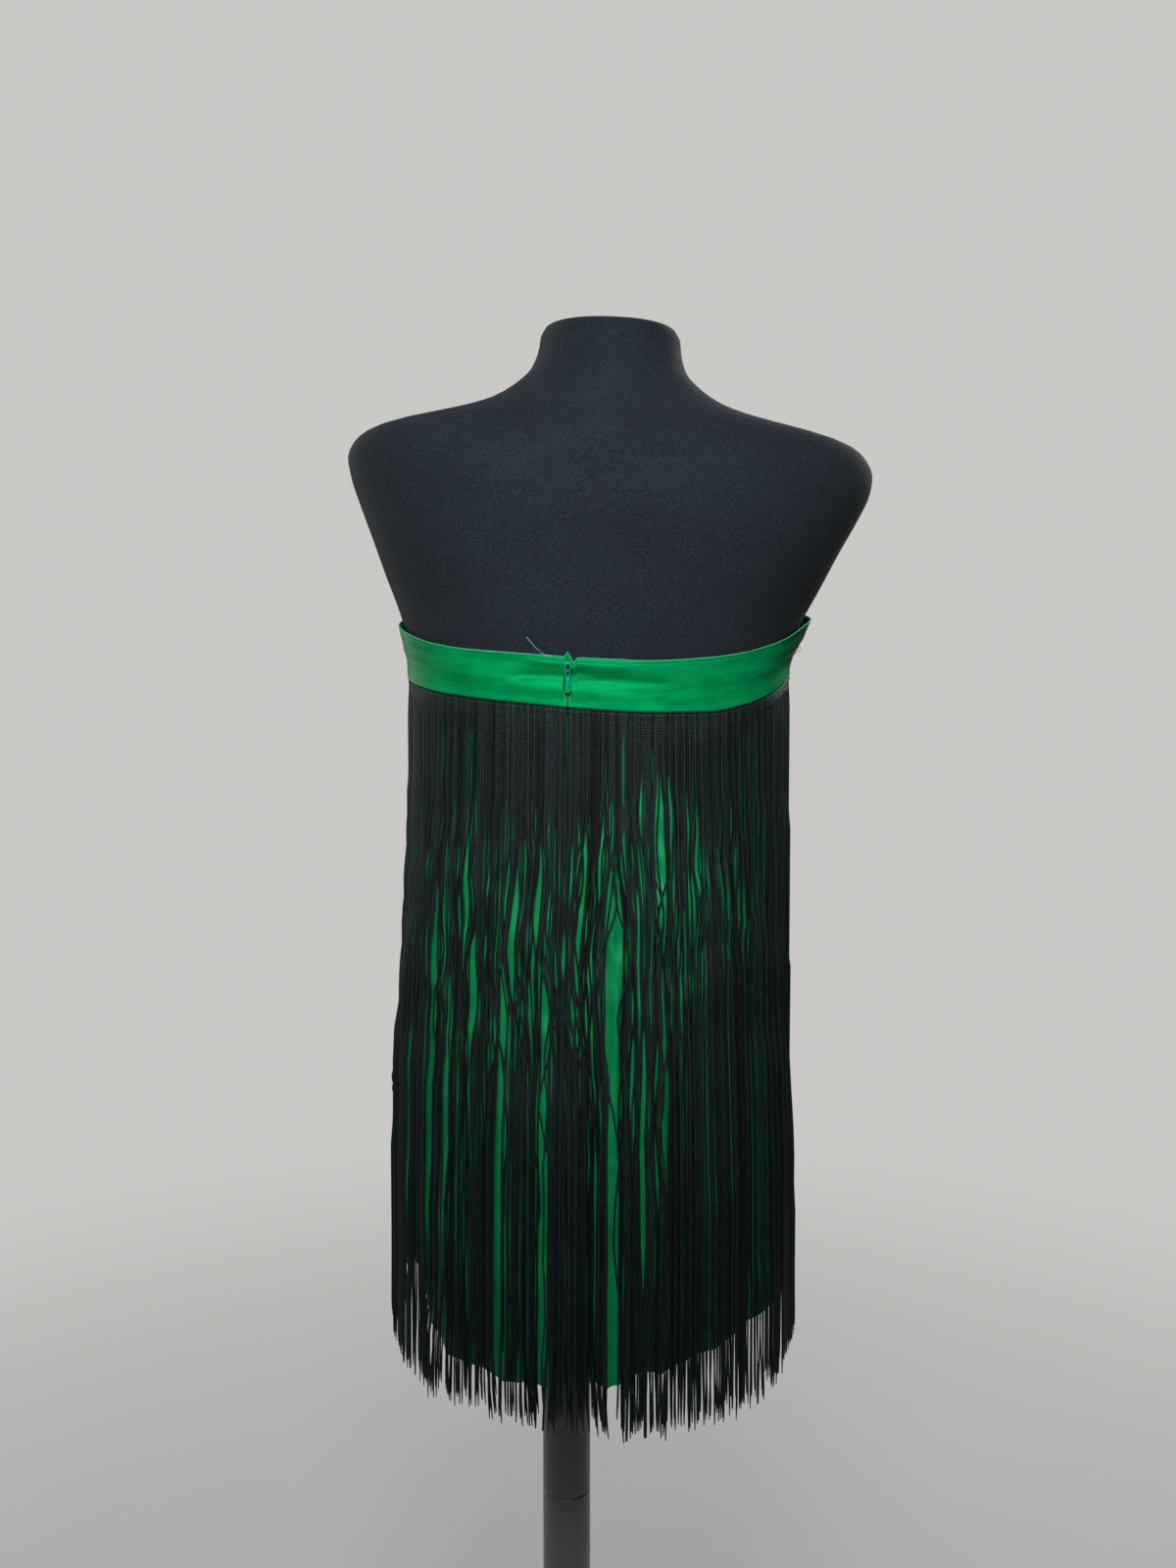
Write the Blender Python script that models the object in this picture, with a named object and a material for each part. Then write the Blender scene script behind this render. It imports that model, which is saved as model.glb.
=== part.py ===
"""Fringe dress on a limbless dress form with a round stand.

Metres, +Z up, the origin under the middle of the base, on the floor.
The dress's back faces -Y and its front +Y.  +X is the wearer's right.
"""

import bisect
import functools
import math
from collections import namedtuple

import bmesh
import bpy
import numpy as np
from mathutils import Vector

# The gap that touching pieces keep.
GAP = 0.0003

# Edges sharper than these stay sharp, on hard pieces and on cloth.
HARD_SMOOTH = math.radians(40)
CLOTH_SMOOTH = math.radians(50)

# The dress form leans towards +X, about a line along Y through its foot.
LEAN = math.radians(2.0)
LEAN_X = 0.010
LEAN_Z = 0.760

# The form at each height, before it leans: half width, depths behind and in front of its
# middle, and how far its middle lies towards +X.
Section = namedtuple("Section", "height half_width back front sideways")
FORM = [
    Section(0.7900, 0.1360, 0.1110, 0.0960, 0.0000),
    Section(0.7970, 0.1400, 0.1150, 0.0990, 0.0000),
    Section(0.8300, 0.1425, 0.1185, 0.1015, 0.0000),
    Section(0.8700, 0.1430, 0.1185, 0.1030, 0.0000),
    Section(0.9200, 0.1385, 0.1105, 0.1045, 0.0000),
    Section(0.9800, 0.1275, 0.0930, 0.1050, 0.0000),
    Section(1.0500, 0.1170, 0.0765, 0.1030, 0.0000),
    Section(1.1050, 0.1215, 0.0800, 0.1060, 0.0000),
    Section(1.1500, 0.1315, 0.0920, 0.1150, 0.0000),
    Section(1.1900, 0.1404, 0.1030, 0.1220, -0.0008),
    Section(1.2320, 0.1544, 0.1060, 0.1230, -0.0003),
    Section(1.2600, 0.1672, 0.1055, 0.1185, 0.0009),
    Section(1.2900, 0.1804, 0.1055, 0.1100, 0.0023),
    Section(1.3150, 0.1920, 0.1030, 0.1000, 0.0038),
    Section(1.3350, 0.1999, 0.0980, 0.0900, 0.0045),
    Section(1.3490, 0.2021, 0.0920, 0.0820, 0.0037),
    Section(1.3600, 0.1977, 0.0850, 0.0745, 0.0031),
    Section(1.3675, 0.1897, 0.0800, 0.0700, 0.0028),
    Section(1.3720, 0.1800, 0.0770, 0.0670, 0.0020),
    Section(1.3765, 0.1650, 0.0730, 0.0640, 0.0010),
    Section(1.3815, 0.1430, 0.0690, 0.0615, 0.0003),
    Section(1.3880, 0.1165, 0.0640, 0.0585, 0.0000),
    Section(1.3955, 0.0945, 0.0595, 0.0565, 0.0000),
    Section(1.4065, 0.0758, 0.0550, 0.0555, 0.0000),
    Section(1.4215, 0.0606, 0.0515, 0.0550, 0.0002),
    Section(1.4380, 0.0552, 0.0500, 0.0550, 0.0006),
    Section(1.4465, 0.0542, 0.0490, 0.0540, 0.0006),
    Section(1.4515, 0.0514, 0.0465, 0.0510, 0.0004),
    Section(1.4530, 0.0468, 0.0420, 0.0465, 0.0003),
]
FORM_COLUMNS = 32
FORM_SQUARENESS = 2.3
BUST_HEIGHT = 1.190
BUST_SIDE = 0.072
BUST_WIDTH = 0.046
BUST_RISE = 0.052
BUST_DEPTH = 0.013
BUST_EASE = 0.6

# The stand: a board under the form, a collar on it, a pole in two parts, a socket and a base.
BOARD_THICKNESS = 0.008
BOARD_INSET = 0.0015
COLLAR_FLANGE_RADIUS = 0.045
COLLAR_FLANGE_THICKNESS = 0.003
COLLAR_RADIUS = 0.0245
COLLAR_BOTTOM = 0.728
COLLAR_SOCKET_TOP = 0.768
POLE_RADIUS = 0.019
POLE_TOP = 0.7675
POLE_SEAM = 0.536
POLE_BEVEL = 0.0008
SOCKET_RADIUS = 0.030
SOCKET_TOP = 0.052
SOCKET_ROUND = 0.003
BASE_RADIUS = 0.190
BASE_THICKNESS = 0.008
BASE_ROUND = 0.003
ROUND_COLUMNS = 32
BASE_COLUMNS = 48

# The ring that the dress hangs from, at the top of its skirt, and how far its inner face
# stands out from that ring at each height.
RING_LEFT = -0.1165
RING_RIGHT = 0.1690
RING_BACK = 0.1045
RING_FRONT = 0.1375
BACK_SQUARENESS = 2.35
FRONT_SQUARENESS = 3.0
Hang = namedtuple("Hang", "height left right back front")
HANG = (
    Hang(0.600, -0.0200, 0.0010, 0.0145, -0.0105),
    Hang(0.660, -0.0195, 0.0010, 0.0145, -0.0100),
    Hang(0.690, -0.0180, 0.0012, 0.0150, -0.0095),
    Hang(0.715, -0.0130, 0.0014, 0.0155, -0.0090),
    Hang(0.745, -0.0020, 0.0016, 0.0165, -0.0085),
    Hang(0.775, 0.0090, 0.0018, 0.0175, -0.0080),
    Hang(0.805, 0.0140, 0.0020, 0.0180, -0.0075),
    Hang(0.860, 0.0150, 0.0020, 0.0170, -0.0065),
    Hang(0.950, 0.0110, 0.0015, 0.0105, -0.0045),
    Hang(1.050, 0.0055, 0.0010, 0.0045, -0.0020),
    Hang(1.165, 0.0000, 0.0000, 0.0000, 0.0000),
    Hang(1.194, 0.0032, 0.0012, 0.0000, 0.0000),
    Hang(1.210, 0.0060, 0.0070, 0.0000, -0.0008),
    Hang(1.234, 0.0116, 0.0188, 0.0000, -0.0024),
    Hang(1.265, 0.0190, 0.0285, 0.0000, -0.0065),
)

# Where things lie around the dress: 0 and 1 at the zip, rising towards the right side.
RING_STEPS = 720
ZIP_X = 0.0033
RIGHT_SEAM = 0.25
LEFT_SEAM = 0.75

# The band's edges, all round.
Edge = namedtuple("Edge", "around top bottom")
BAND_EDGES = (
    Edge(0.000, 1.1990, 1.1641),
    Edge(0.066, 1.1967, 1.1608),
    Edge(0.110, 1.1990, 1.1612),
    Edge(0.150, 1.2043, 1.1672),
    Edge(0.190, 1.2145, 1.1785),
    Edge(0.225, 1.2290, 1.1890),
    Edge(0.262, 1.2362, 1.1945),
    Edge(0.390, 1.2500, 1.2110),
    Edge(0.527, 1.2580, 1.2195),
    Edge(0.665, 1.2480, 1.2090),
    Edge(0.801, 1.2303, 1.1899),
    Edge(0.902, 1.2074, 1.1735),
    Edge(1.000, 1.1990, 1.1641),
)
BAND_WALL = 0.0024
BAND_LEVELS = (0.0, 0.5, 1.0)
SKIRT_WALL = 0.0012
SKIRT_LEVELS = (0.0, 0.01, 0.022, 0.04, 0.07, 0.13, 0.25, 0.38, 0.51, 0.64, 0.76, 0.88, 1.0)
COLUMNS_AROUND = 84

# The satin's hem, all round.
Hem = namedtuple("Hem", "around height")
HEM = (
    Hem(0.000, 0.688),
    Hem(0.055, 0.697),
    Hem(0.100, 0.707),
    Hem(0.150, 0.724),
    Hem(0.200, 0.737),
    Hem(0.255, 0.740),
    Hem(0.390, 0.746),
    Hem(0.527, 0.755),
    Hem(0.665, 0.742),
    Hem(0.801, 0.705),
    Hem(0.870, 0.697),
    Hem(0.950, 0.690),
    Hem(1.000, 0.688),
)

# The satin's largest folds: metres around from the zip, spread, depth at the hem, highest point.
Fold = namedtuple("Fold", "around spread depth start")
FOLDS = (
    Fold(0.033, 0.013, 0.0085, 1.06),
    Fold(0.066, 0.012, 0.0060, 1.12),
    Fold(0.101, 0.015, 0.0045, 0.98),
    Fold(0.142, 0.016, 0.0065, 1.03),
    Fold(0.196, 0.020, 0.0070, 0.95),
    Fold(0.248, 0.018, 0.0055, 1.05),
    Fold(0.305, 0.022, 0.0080, 1.00),
    Fold(0.362, 0.017, 0.0060, 1.08),
    Fold(0.421, 0.024, 0.0090, 1.02),
    Fold(0.480, 0.019, 0.0065, 1.06),
    Fold(0.533, 0.023, 0.0080, 0.98),
    Fold(0.594, 0.018, 0.0060, 1.05),
    Fold(0.652, 0.021, 0.0075, 1.00),
    Fold(0.706, 0.016, 0.0050, 1.08),
    Fold(0.748, 0.017, 0.0050, 0.92),
    Fold(0.790, 0.013, 0.0055, 1.00),
    Fold(0.835, 0.012, 0.0060, 1.05),
    Fold(0.863, 0.010, 0.0055, 1.02),
)
FOLD_END = 0.690

# The fringe: strands of one length that hang plumb from a narrow heading tape.
STRANDS_BACK = 55
STRANDS_FRONT = 110
STRAND_LENGTH = 0.502
STRAND_WIDTH = 0.0017
STRAND_TIP = 0.6
STRAND_LEVELS = [0.10, 0.36, 0.66, 1.00]
STRAND_UNEVEN = 0.009
STRAND_CLEARANCE = 0.0014
STRAND_BESIDE = 0.004
STRAND_STEP = 0.025
TAPE_HEIGHT = 0.0045
TAPE_WALL = 0.0012
FRINGE_SEED = 7

# Partings in the fringe: metres around from the zip, highest and lowest point, width and reach.
Parting = namedtuple("Parting", "around top bottom width reach")
PARTINGS = [
    Parting(0.033, 1.070, 0.660, 0.0085, 0.016),
    Parting(0.066, 1.120, 0.770, 0.0070, 0.014),
    Parting(0.111, 1.060, 0.960, 0.0040, 0.012),
    Parting(0.160, 0.980, 0.740, 0.0040, 0.014),
    Parting(0.232, 1.020, 0.660, 0.0060, 0.018),
    Parting(0.318, 1.060, 0.700, 0.0070, 0.018),
    Parting(0.396, 1.090, 0.780, 0.0060, 0.016),
    Parting(0.470, 1.030, 0.700, 0.0080, 0.020),
    Parting(0.552, 1.080, 0.740, 0.0060, 0.018),
    Parting(0.634, 1.040, 0.700, 0.0070, 0.018),
    Parting(0.712, 1.000, 0.720, 0.0050, 0.016),
    Parting(0.788, 0.980, 0.700, 0.0050, 0.015),
    Parting(0.813, 1.010, 0.760, 0.0040, 0.011),
    Parting(0.835, 0.980, 0.720, 0.0050, 0.012),
    Parting(0.863, 1.000, 0.680, 0.0065, 0.013),
]
PARTING_FADE = 0.060

# The zip at the centre back: its tape, slider and hanging pull tab.
ZIP_TAPE_WIDTH = 0.0050
ZIP_TAPE_WALL = 0.0008
ZIP_TAPE_ABOVE = 0.0035
ZIP_TAPE_LEVELS = (0.0, 0.35, 0.7, 1.0)
SLIDER_WIDTH = 0.0043
SLIDER_THICKNESS = 0.0016
SLIDER_BOTTOM = 1.1868
SLIDER_TOP = 1.1948
SLIDER_BEVEL = 0.0004
BAIL_WIDTH = 0.0012
BAIL_INNER = 0.0010
BAIL_OUTER = 0.0016
BAIL_STEPS = 8
BAIL_SINK = 0.0004
PULL_PIVOT_Z = 1.1895
PULL_THICKNESS = 0.0010
PULL_BAR = 0.0010
PULL_HOLE_HALF = 0.0010
PULL_HOLE_LENGTH = 0.0026

# The pull tab's outline: depth below the pivot, half width.
Tab = namedtuple("Tab", "below half_width")
PULL_OUTLINE = [
    Tab(-0.0005, 0.0015),
    Tab(0.0010, 0.0016),
    Tab(0.0040, 0.0017),
    Tab(0.0080, 0.0019),
    Tab(0.0120, 0.0022),
    Tab(0.0140, 0.0020),
    Tab(0.0152, 0.0011),
]


@functools.cache
def curve_of(rows, column):
    """A table's first column, the named one, and the named one's slope at each row.

    A row that is lower or higher than both its neighbours gets a slope of 0, so that the
    curve never passes beyond its rows.
    """
    keys = [row[0] for row in rows]
    values = [getattr(row, column) for row in rows]
    steps = [(values[i + 1] - values[i]) / (keys[i + 1] - keys[i]) for i in range(len(rows) - 1)]
    slopes = [steps[0]]
    for before, after in zip(steps, steps[1:]):
        slopes.append(2 * before * after / (before + after) if before * after > 0 else 0.0)
    slopes.append(steps[-1])
    return keys, values, slopes


def eased(rows, key, column):
    """A table's column at a key, on a smooth curve through its rows, which rise by first column."""
    keys, values, slopes = curve_of(rows, column)
    i = min(max(bisect.bisect_right(keys, key) - 1, 0), len(keys) - 2)
    span = keys[i + 1] - keys[i]
    t = min(max((key - keys[i]) / span, 0.0), 1.0)
    start_weight = 2 * t**3 - 3 * t**2 + 1
    start_slope_weight = t**3 - 2 * t**2 + t
    end_slope_weight = t**3 - t**2
    return (start_weight * values[i] + (1 - start_weight) * values[i + 1]
            + span * (start_slope_weight * slopes[i] + end_slope_weight * slopes[i + 1]))


def smooth_step(share):
    """0 up to a share of 0, 1 from a share of 1, and a soft step between them."""
    t = min(max(share, 0.0), 1.0)
    return t * t * (3 - 2 * t)


def rounded(angle, half_width, depth, squareness):
    """A point of a rounded outline, at an angle from +X."""
    power = 2 / squareness
    x = math.copysign(half_width * abs(math.cos(angle)) ** power, math.cos(angle))
    y = math.copysign(depth * abs(math.sin(angle)) ** power, math.sin(angle))
    return x, y


# Objects and materials

def clear_scene():
    for old in list(bpy.data.objects):
        bpy.data.objects.remove(old, do_unlink=True)


def finish(name, colour, roughness, metallic=0.0):
    """A plain material of its own for one object."""
    material = bpy.data.materials.new(name + "_finish")
    material.use_nodes = True
    shader = material.node_tree.nodes["Principled BSDF"]
    shader.inputs["Base Color"].default_value = (*colour, 1.0)
    shader.inputs["Roughness"].default_value = roughness
    shader.inputs["Metallic"].default_value = metallic
    return material


BLACK_JERSEY = ((0.020, 0.023, 0.027), 0.90)
BLACK_BOARD = ((0.015, 0.015, 0.016), 0.60)
GREY_METAL = ((0.040, 0.038, 0.040), 0.38, 0.6)
GREEN_SATIN = ((0.000, 0.300, 0.085), 0.36)
BLACK_FRINGE = ((0.006, 0.007, 0.007), 0.55)
GREEN_ENAMEL = ((0.000, 0.230, 0.075), 0.30)


def add_object(name, points, faces, look, smooth_angle=None):
    """One closed mesh as a named object."""
    mesh = bpy.data.meshes.new(name)
    mesh.from_pydata([tuple(point) for point in points], [], faces)
    mesh.update()
    bm = bmesh.new()
    bm.from_mesh(mesh)
    bmesh.ops.recalc_face_normals(bm, faces=bm.faces)
    bm.to_mesh(mesh)
    bm.free()
    if smooth_angle:
        mesh.shade_smooth()
        mesh.set_sharp_from_angle(angle=smooth_angle)
    mesh.materials.append(finish(name, *look))
    thing = bpy.data.objects.new(name, mesh)
    bpy.context.scene.collection.objects.link(thing)
    return thing


def add_loft(name, rings, look, smooth_angle=HARD_SMOOTH):
    """A solid through rings of equally many points, flat at both ends."""
    count = len(rings[0])
    points = [point for ring in rings for point in ring]
    faces = [list(range(count)), list(range(len(points) - count, len(points)))]
    for row in range(len(rings) - 1):
        for column in range(count):
            beside = (column + 1) % count
            faces.append([row * count + column, row * count + beside,
                          (row + 1) * count + beside, (row + 1) * count + column])
    return add_object(name, points, faces, look, smooth_angle)


def add_wall(name, place, columns, levels, wall, look):
    """A cloth wall: place(across, down, out), across from 0 to 1, down at each of its levels."""
    points = []
    for out in (0.0, wall):
        for down in levels:
            for column in range(columns + 1):
                points.append(place(column / columns, down, out))
    rows = len(levels) - 1
    width = columns + 1
    side = width * (rows + 1)
    faces = []
    for row in range(rows):
        for column in range(columns):
            corner = row * width + column
            square = [corner, corner + 1, corner + width + 1, corner + width]
            faces.append(square)
            faces.append([side + index for index in reversed(square)])
    rim = [(column, column + 1) for column in range(columns)]
    rim += [(rows * width + column + 1, rows * width + column) for column in range(columns)]
    rim += [((row + 1) * width, row * width) for row in range(rows)]
    rim += [(row * width + columns, (row + 1) * width + columns) for row in range(rows)]
    for first, second in rim:
        faces.append([second, first, side + first, side + second])
    return add_object(name, points, faces, look, CLOTH_SMOOTH)


# The dress form

def leaned(x, y, z):
    """A point of the upright form, once the form leans."""
    rise = z - LEAN_Z
    return Vector((LEAN_X + x * math.cos(LEAN) + rise * math.sin(LEAN), y,
                   LEAN_Z - x * math.sin(LEAN) + rise * math.cos(LEAN)))


def form_ring(section, inset=0.0, height=None):
    height = section.height if height is None else height
    ring = []
    for column in range(FORM_COLUMNS):
        angle = 2 * math.pi * column / FORM_COLUMNS
        depth = section.front if angle < math.pi else section.back
        x, y = rounded(angle, section.half_width - inset, depth - inset, FORM_SQUARENESS)
        if y > 0:
            beside = (abs(x) - BUST_SIDE) / BUST_WIDTH
            above = (height - BUST_HEIGHT) / BUST_RISE
            y += BUST_DEPTH * math.exp(-beside**2 - above**2) * smooth_step(y / depth / BUST_EASE)
        ring.append(leaned(x + section.sideways, y, height))
    return ring


def add_form():
    add_loft("form_torso", [form_ring(section) for section in FORM], BLACK_JERSEY)
    top = FORM[0].height - GAP
    add_loft("form_board", [form_ring(FORM[0], BOARD_INSET, top - BOARD_THICKNESS),
                            form_ring(FORM[0], BOARD_INSET, top)], BLACK_BOARD)


# The stand

def circle(radius, z, columns=ROUND_COLUMNS):
    turns = [2 * math.pi * column / columns for column in range(columns)]
    return [Vector((radius * math.cos(turn), radius * math.sin(turn), z)) for turn in turns]


def leaned_circle(radius, height):
    """A ring about the pole, in the tilted plane of the form's foot."""
    return [Vector((point.x, point.y, height - (point.x - LEAN_X) * math.tan(LEAN)))
            for point in circle(radius, 0.0)]


def add_collar():
    under_board = LEAN_Z + (FORM[0].height - 2 * GAP - BOARD_THICKNESS - LEAN_Z) / math.cos(LEAN)
    under_flange = under_board - COLLAR_FLANGE_THICKNESS
    bore = POLE_RADIUS + GAP
    add_loft("form_collar", [
        leaned_circle(COLLAR_FLANGE_RADIUS, under_board),
        leaned_circle(COLLAR_FLANGE_RADIUS, under_flange),
        leaned_circle(COLLAR_RADIUS, under_flange),
        circle(COLLAR_RADIUS, COLLAR_BOTTOM),
        circle(bore, COLLAR_BOTTOM),
        circle(bore, COLLAR_SOCKET_TOP),
    ], GREY_METAL)


def add_pole():
    for name, low, high in (("pole_upper", POLE_SEAM + GAP, POLE_TOP),
                            ("pole_lower", BASE_THICKNESS + GAP, POLE_SEAM)):
        add_loft(name, [
            circle(POLE_RADIUS - POLE_BEVEL, low),
            circle(POLE_RADIUS, low + POLE_BEVEL),
            circle(POLE_RADIUS, high - POLE_BEVEL),
            circle(POLE_RADIUS - POLE_BEVEL, high),
        ], GREY_METAL)


def add_socket():
    """The tube on the base that the pole stands in: a turned ring, so its last ring meets its first."""
    low = BASE_THICKNESS + GAP
    bore = POLE_RADIUS + GAP
    profile = [
        (bore, SOCKET_TOP),
        (SOCKET_RADIUS - SOCKET_ROUND, SOCKET_TOP),
        (SOCKET_RADIUS, SOCKET_TOP - SOCKET_ROUND),
        (SOCKET_RADIUS, low),
        (bore, low),
    ]
    rings = [circle(radius, z) for radius, z in profile]
    points = [point for ring in rings for point in ring]
    faces = []
    for row in range(len(rings)):
        below = (row + 1) % len(rings)
        for column in range(ROUND_COLUMNS):
            beside = (column + 1) % ROUND_COLUMNS
            faces.append([row * ROUND_COLUMNS + column, row * ROUND_COLUMNS + beside,
                          below * ROUND_COLUMNS + beside, below * ROUND_COLUMNS + column])
    add_object("base_socket", points, faces, GREY_METAL, HARD_SMOOTH)


def add_base():
    add_loft("base_plate", [
        circle(BASE_RADIUS - BASE_ROUND / 2, 0.0, BASE_COLUMNS),
        circle(BASE_RADIUS, BASE_ROUND / 2, BASE_COLUMNS),
        circle(BASE_RADIUS, BASE_THICKNESS - BASE_ROUND, BASE_COLUMNS),
        circle(BASE_RADIUS - BASE_ROUND, BASE_THICKNESS, BASE_COLUMNS),
    ], GREY_METAL)


# The dress's shape

def ring_point(angle):
    """A point of the ring that the dress hangs from, at an angle from +X."""
    front = math.sin(angle) > 0
    x, y = rounded(angle, (RING_RIGHT - RING_LEFT) / 2, RING_FRONT if front else RING_BACK,
                   FRONT_SQUARENESS if front else BACK_SQUARENESS)
    return Vector(((RING_LEFT + RING_RIGHT) / 2 + x, y))


def measure_ring():
    """Angles around the ring from the zip, and the length along the ring up to each."""
    centre = (RING_LEFT + RING_RIGHT) / 2
    share = (ZIP_X - centre) / (RING_RIGHT - centre)
    start = -math.acos(math.copysign(abs(share) ** (BACK_SQUARENESS / 2), share))
    step = 2 * math.pi / RING_STEPS
    angles = [start + step * count for count in range(RING_STEPS + 1)]
    points = [ring_point(angle) for angle in angles]
    lengths = [0.0]
    for before, after in zip(points, points[1:]):
        lengths.append(lengths[-1] + (after - before).length)
    return angles, lengths


ANGLES, LENGTHS = measure_ring()
ROUND = LENGTHS[-1]
NORMAL_STEP = math.radians(1.0)


@functools.cache
def station(around):
    """The ring's point at a share of its length from the zip, and the way straight out of it."""
    angle = float(np.interp(around * ROUND, LENGTHS, ANGLES))
    along = ring_point(angle + NORMAL_STEP) - ring_point(angle - NORMAL_STEP)
    return ring_point(angle), Vector((along.y, -along.x)).normalized()


def hang_reach(around, height):
    """How far the dress's inner face stands out from the ring, without its folds."""
    away = station(around)[1]
    side = eased(HANG, height, "right" if away.x > 0 else "left")
    end = eased(HANG, height, "front" if away.y > 0 else "back")
    return away.x**2 * side + away.y**2 * end


def fold_depth(around, height):
    """How far the satin's folds stand out at a place."""
    depth = 0.0
    for fold in FOLDS:
        away = abs(around * ROUND - fold.around)
        away = min(away, ROUND - away) / fold.spread
        grown = smooth_step((fold.start - height) / (fold.start - FOLD_END))
        depth += fold.depth * grown * math.exp(-away**2)
    return depth


def dress_point(around, height, out, folded=True):
    base, away = station(around)
    reach = hang_reach(around, height) + out
    if folded:
        reach += fold_depth(around, height)
    place = base + away * reach
    return Vector((place.x, place.y, height))


def seam_span(start, end):
    """A panel's range around the dress, short of its seams by half a gap each."""
    trim = GAP / 2 / ROUND
    return start + trim, end - trim


PANELS = [
    ("back_right", 0.0, RIGHT_SEAM, STRANDS_BACK),
    ("front", RIGHT_SEAM, LEFT_SEAM, STRANDS_FRONT),
    ("back_left", LEFT_SEAM, 1.0, STRANDS_BACK),
]


def add_skirt_panel(name, start, end):
    start, end = seam_span(start, end)

    def place(across, down, out):
        around = start + (end - start) * across
        top = eased(BAND_EDGES, around, "bottom") - GAP
        hem = eased(HEM, around, "height")
        return dress_point(around, top + (hem - top) * down, out)

    add_wall("skirt_" + name, place, round(COLUMNS_AROUND * (end - start)), SKIRT_LEVELS,
             SKIRT_WALL, GREEN_SATIN)


def add_band_piece(name, start, end):
    start, end = seam_span(start, end)

    def place(across, down, out):
        around = start + (end - start) * across
        top = eased(BAND_EDGES, around, "top")
        bottom = eased(BAND_EDGES, around, "bottom")
        return dress_point(around, top + (bottom - top) * down, out, folded=False)

    add_wall("band_" + name, place, round(COLUMNS_AROUND * (end - start)), BAND_LEVELS,
             BAND_WALL, GREEN_SATIN)


# The fringe

def parting_shift(length, height):
    """How far a strand at a length around from the zip is pushed sideways by the partings."""
    shift = 0.0
    for parting in PARTINGS:
        below = smooth_step((parting.top - height) / PARTING_FADE)
        above = smooth_step((height - parting.bottom) / PARTING_FADE)
        away = length - parting.around
        push = parting.width / 2 * math.exp(-abs(away) / parting.reach)
        shift += below * above * math.copysign(push, away)
    return shift


def strand_path(around, length):
    """The places of a strand's sections as (sideways, out, height), from its root down."""
    root = eased(BAND_EDGES, around, "bottom") - GAP - TAPE_HEIGHT
    start = hang_reach(around, root) + SKIRT_WALL + GAP
    reach = start
    height = root
    path = []
    for level in STRAND_LEVELS:
        below = root - level * length
        while height > below:
            height = max(height - STRAND_STEP, below)
            side = parting_shift(around * ROUND, height)
            for beside in (side - STRAND_BESIDE, side, side + STRAND_BESIDE):
                there = (around + beside / ROUND) % 1.0
                satin = hang_reach(there, height) + fold_depth(there, height) + SKIRT_WALL
                reach = max(reach, satin + STRAND_CLEARANCE)
        path.append((side, reach - start, height))
    return path


def add_fringe_piece(name, start, end, strands, chance):
    """A heading tape with its strands: two points a strand on its outer edge, one on its inner."""
    start, end = seam_span(start, end)
    pitch = (end - start) / strands
    half = STRAND_WIDTH / 2 / ROUND
    inner = SKIRT_WALL + GAP
    outer = inner + TAPE_WALL
    points = []
    faces = []

    def add_point(around, drop, out):
        height = eased(BAND_EDGES, around, "bottom") - GAP - drop
        points.append(dress_point(around, height, out, folded=False))
        return len(points) - 1

    def add_column(around, edges):
        top_in = add_point(around, 0.0, inner)
        top_out = add_point(around, 0.0, outer)
        low_in = add_point(around, TAPE_HEIGHT, inner)
        low_out = [add_point(edge, TAPE_HEIGHT, outer) for edge in edges]
        return top_in, top_out, low_in, low_out

    columns = [add_column(start, [start])]
    for strand in range(strands):
        middle = start + (strand + 0.5) * pitch
        columns.append(add_column(middle, [middle - half, middle + half]))
        faces += strand_faces(points, middle, columns[-1], chance)
    columns.append(add_column(end, [end]))

    first_in, first_out, first_low_in, first_low_out = columns[0]
    faces.append([first_in, first_out, first_low_out[0], first_low_in])
    last_in, last_out, last_low_in, last_low_out = columns[-1]
    faces.append([last_out, last_in, last_low_in, last_low_out[0]])
    for before, after in zip(columns, columns[1:]):
        faces.append([before[0], before[2], after[2], after[0]])
        faces.append([before[0], after[0], after[1], before[1]])
        faces.append([before[1], after[1], after[3][0], before[3][-1]])
        faces.append([before[2], before[3][-1], after[3][0], after[2]])
        if len(after[3]) > 1:
            faces.append([after[1], after[3][1], after[3][0]])
    add_object("fringe_" + name, points, faces, BLACK_FRINGE)


def strand_faces(points, middle, column, chance):
    """A three-sided strand below its tape's points, with its points added to the list."""
    length = STRAND_LENGTH - TAPE_HEIGHT + chance.uniform(-STRAND_UNEVEN, STRAND_UNEVEN)
    root = [column[3][0], column[3][1], column[2]]
    root_places = [points[index].copy() for index in root]
    centre = sum(root_places, Vector()) / 3
    away = station(middle)[1]
    sideways = Vector((-away.y, away.x))
    faces = []
    previous = root
    path = strand_path(middle, length)
    for number, (side, out, height) in enumerate(path, 1):
        taper = 1 - (1 - STRAND_TIP) * number / len(path)
        current = []
        for place in root_places:
            spot = centre.to_2d() + (place - centre).to_2d() * taper + sideways * side + away * out
            current.append(len(points))
            points.append(Vector((spot.x, spot.y, height)))
        for corner in range(3):
            following = (corner + 1) % 3
            faces.append([previous[corner], previous[following],
                          current[following], current[corner]])
        previous = current
    faces.append(previous)
    return faces


def add_dress():
    chance = np.random.default_rng(FRINGE_SEED)
    for name, start, end, strands in PANELS:
        add_skirt_panel(name, start, end)
        add_band_piece(name, start, end)
        add_fringe_piece(name, start, end, strands, chance)


# The zip

def zip_face(out):
    """The y of the band's outer face at the zip, moved out."""
    return dress_point(0.0, PULL_PIVOT_Z, BAND_WALL + out, folded=False).y


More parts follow.
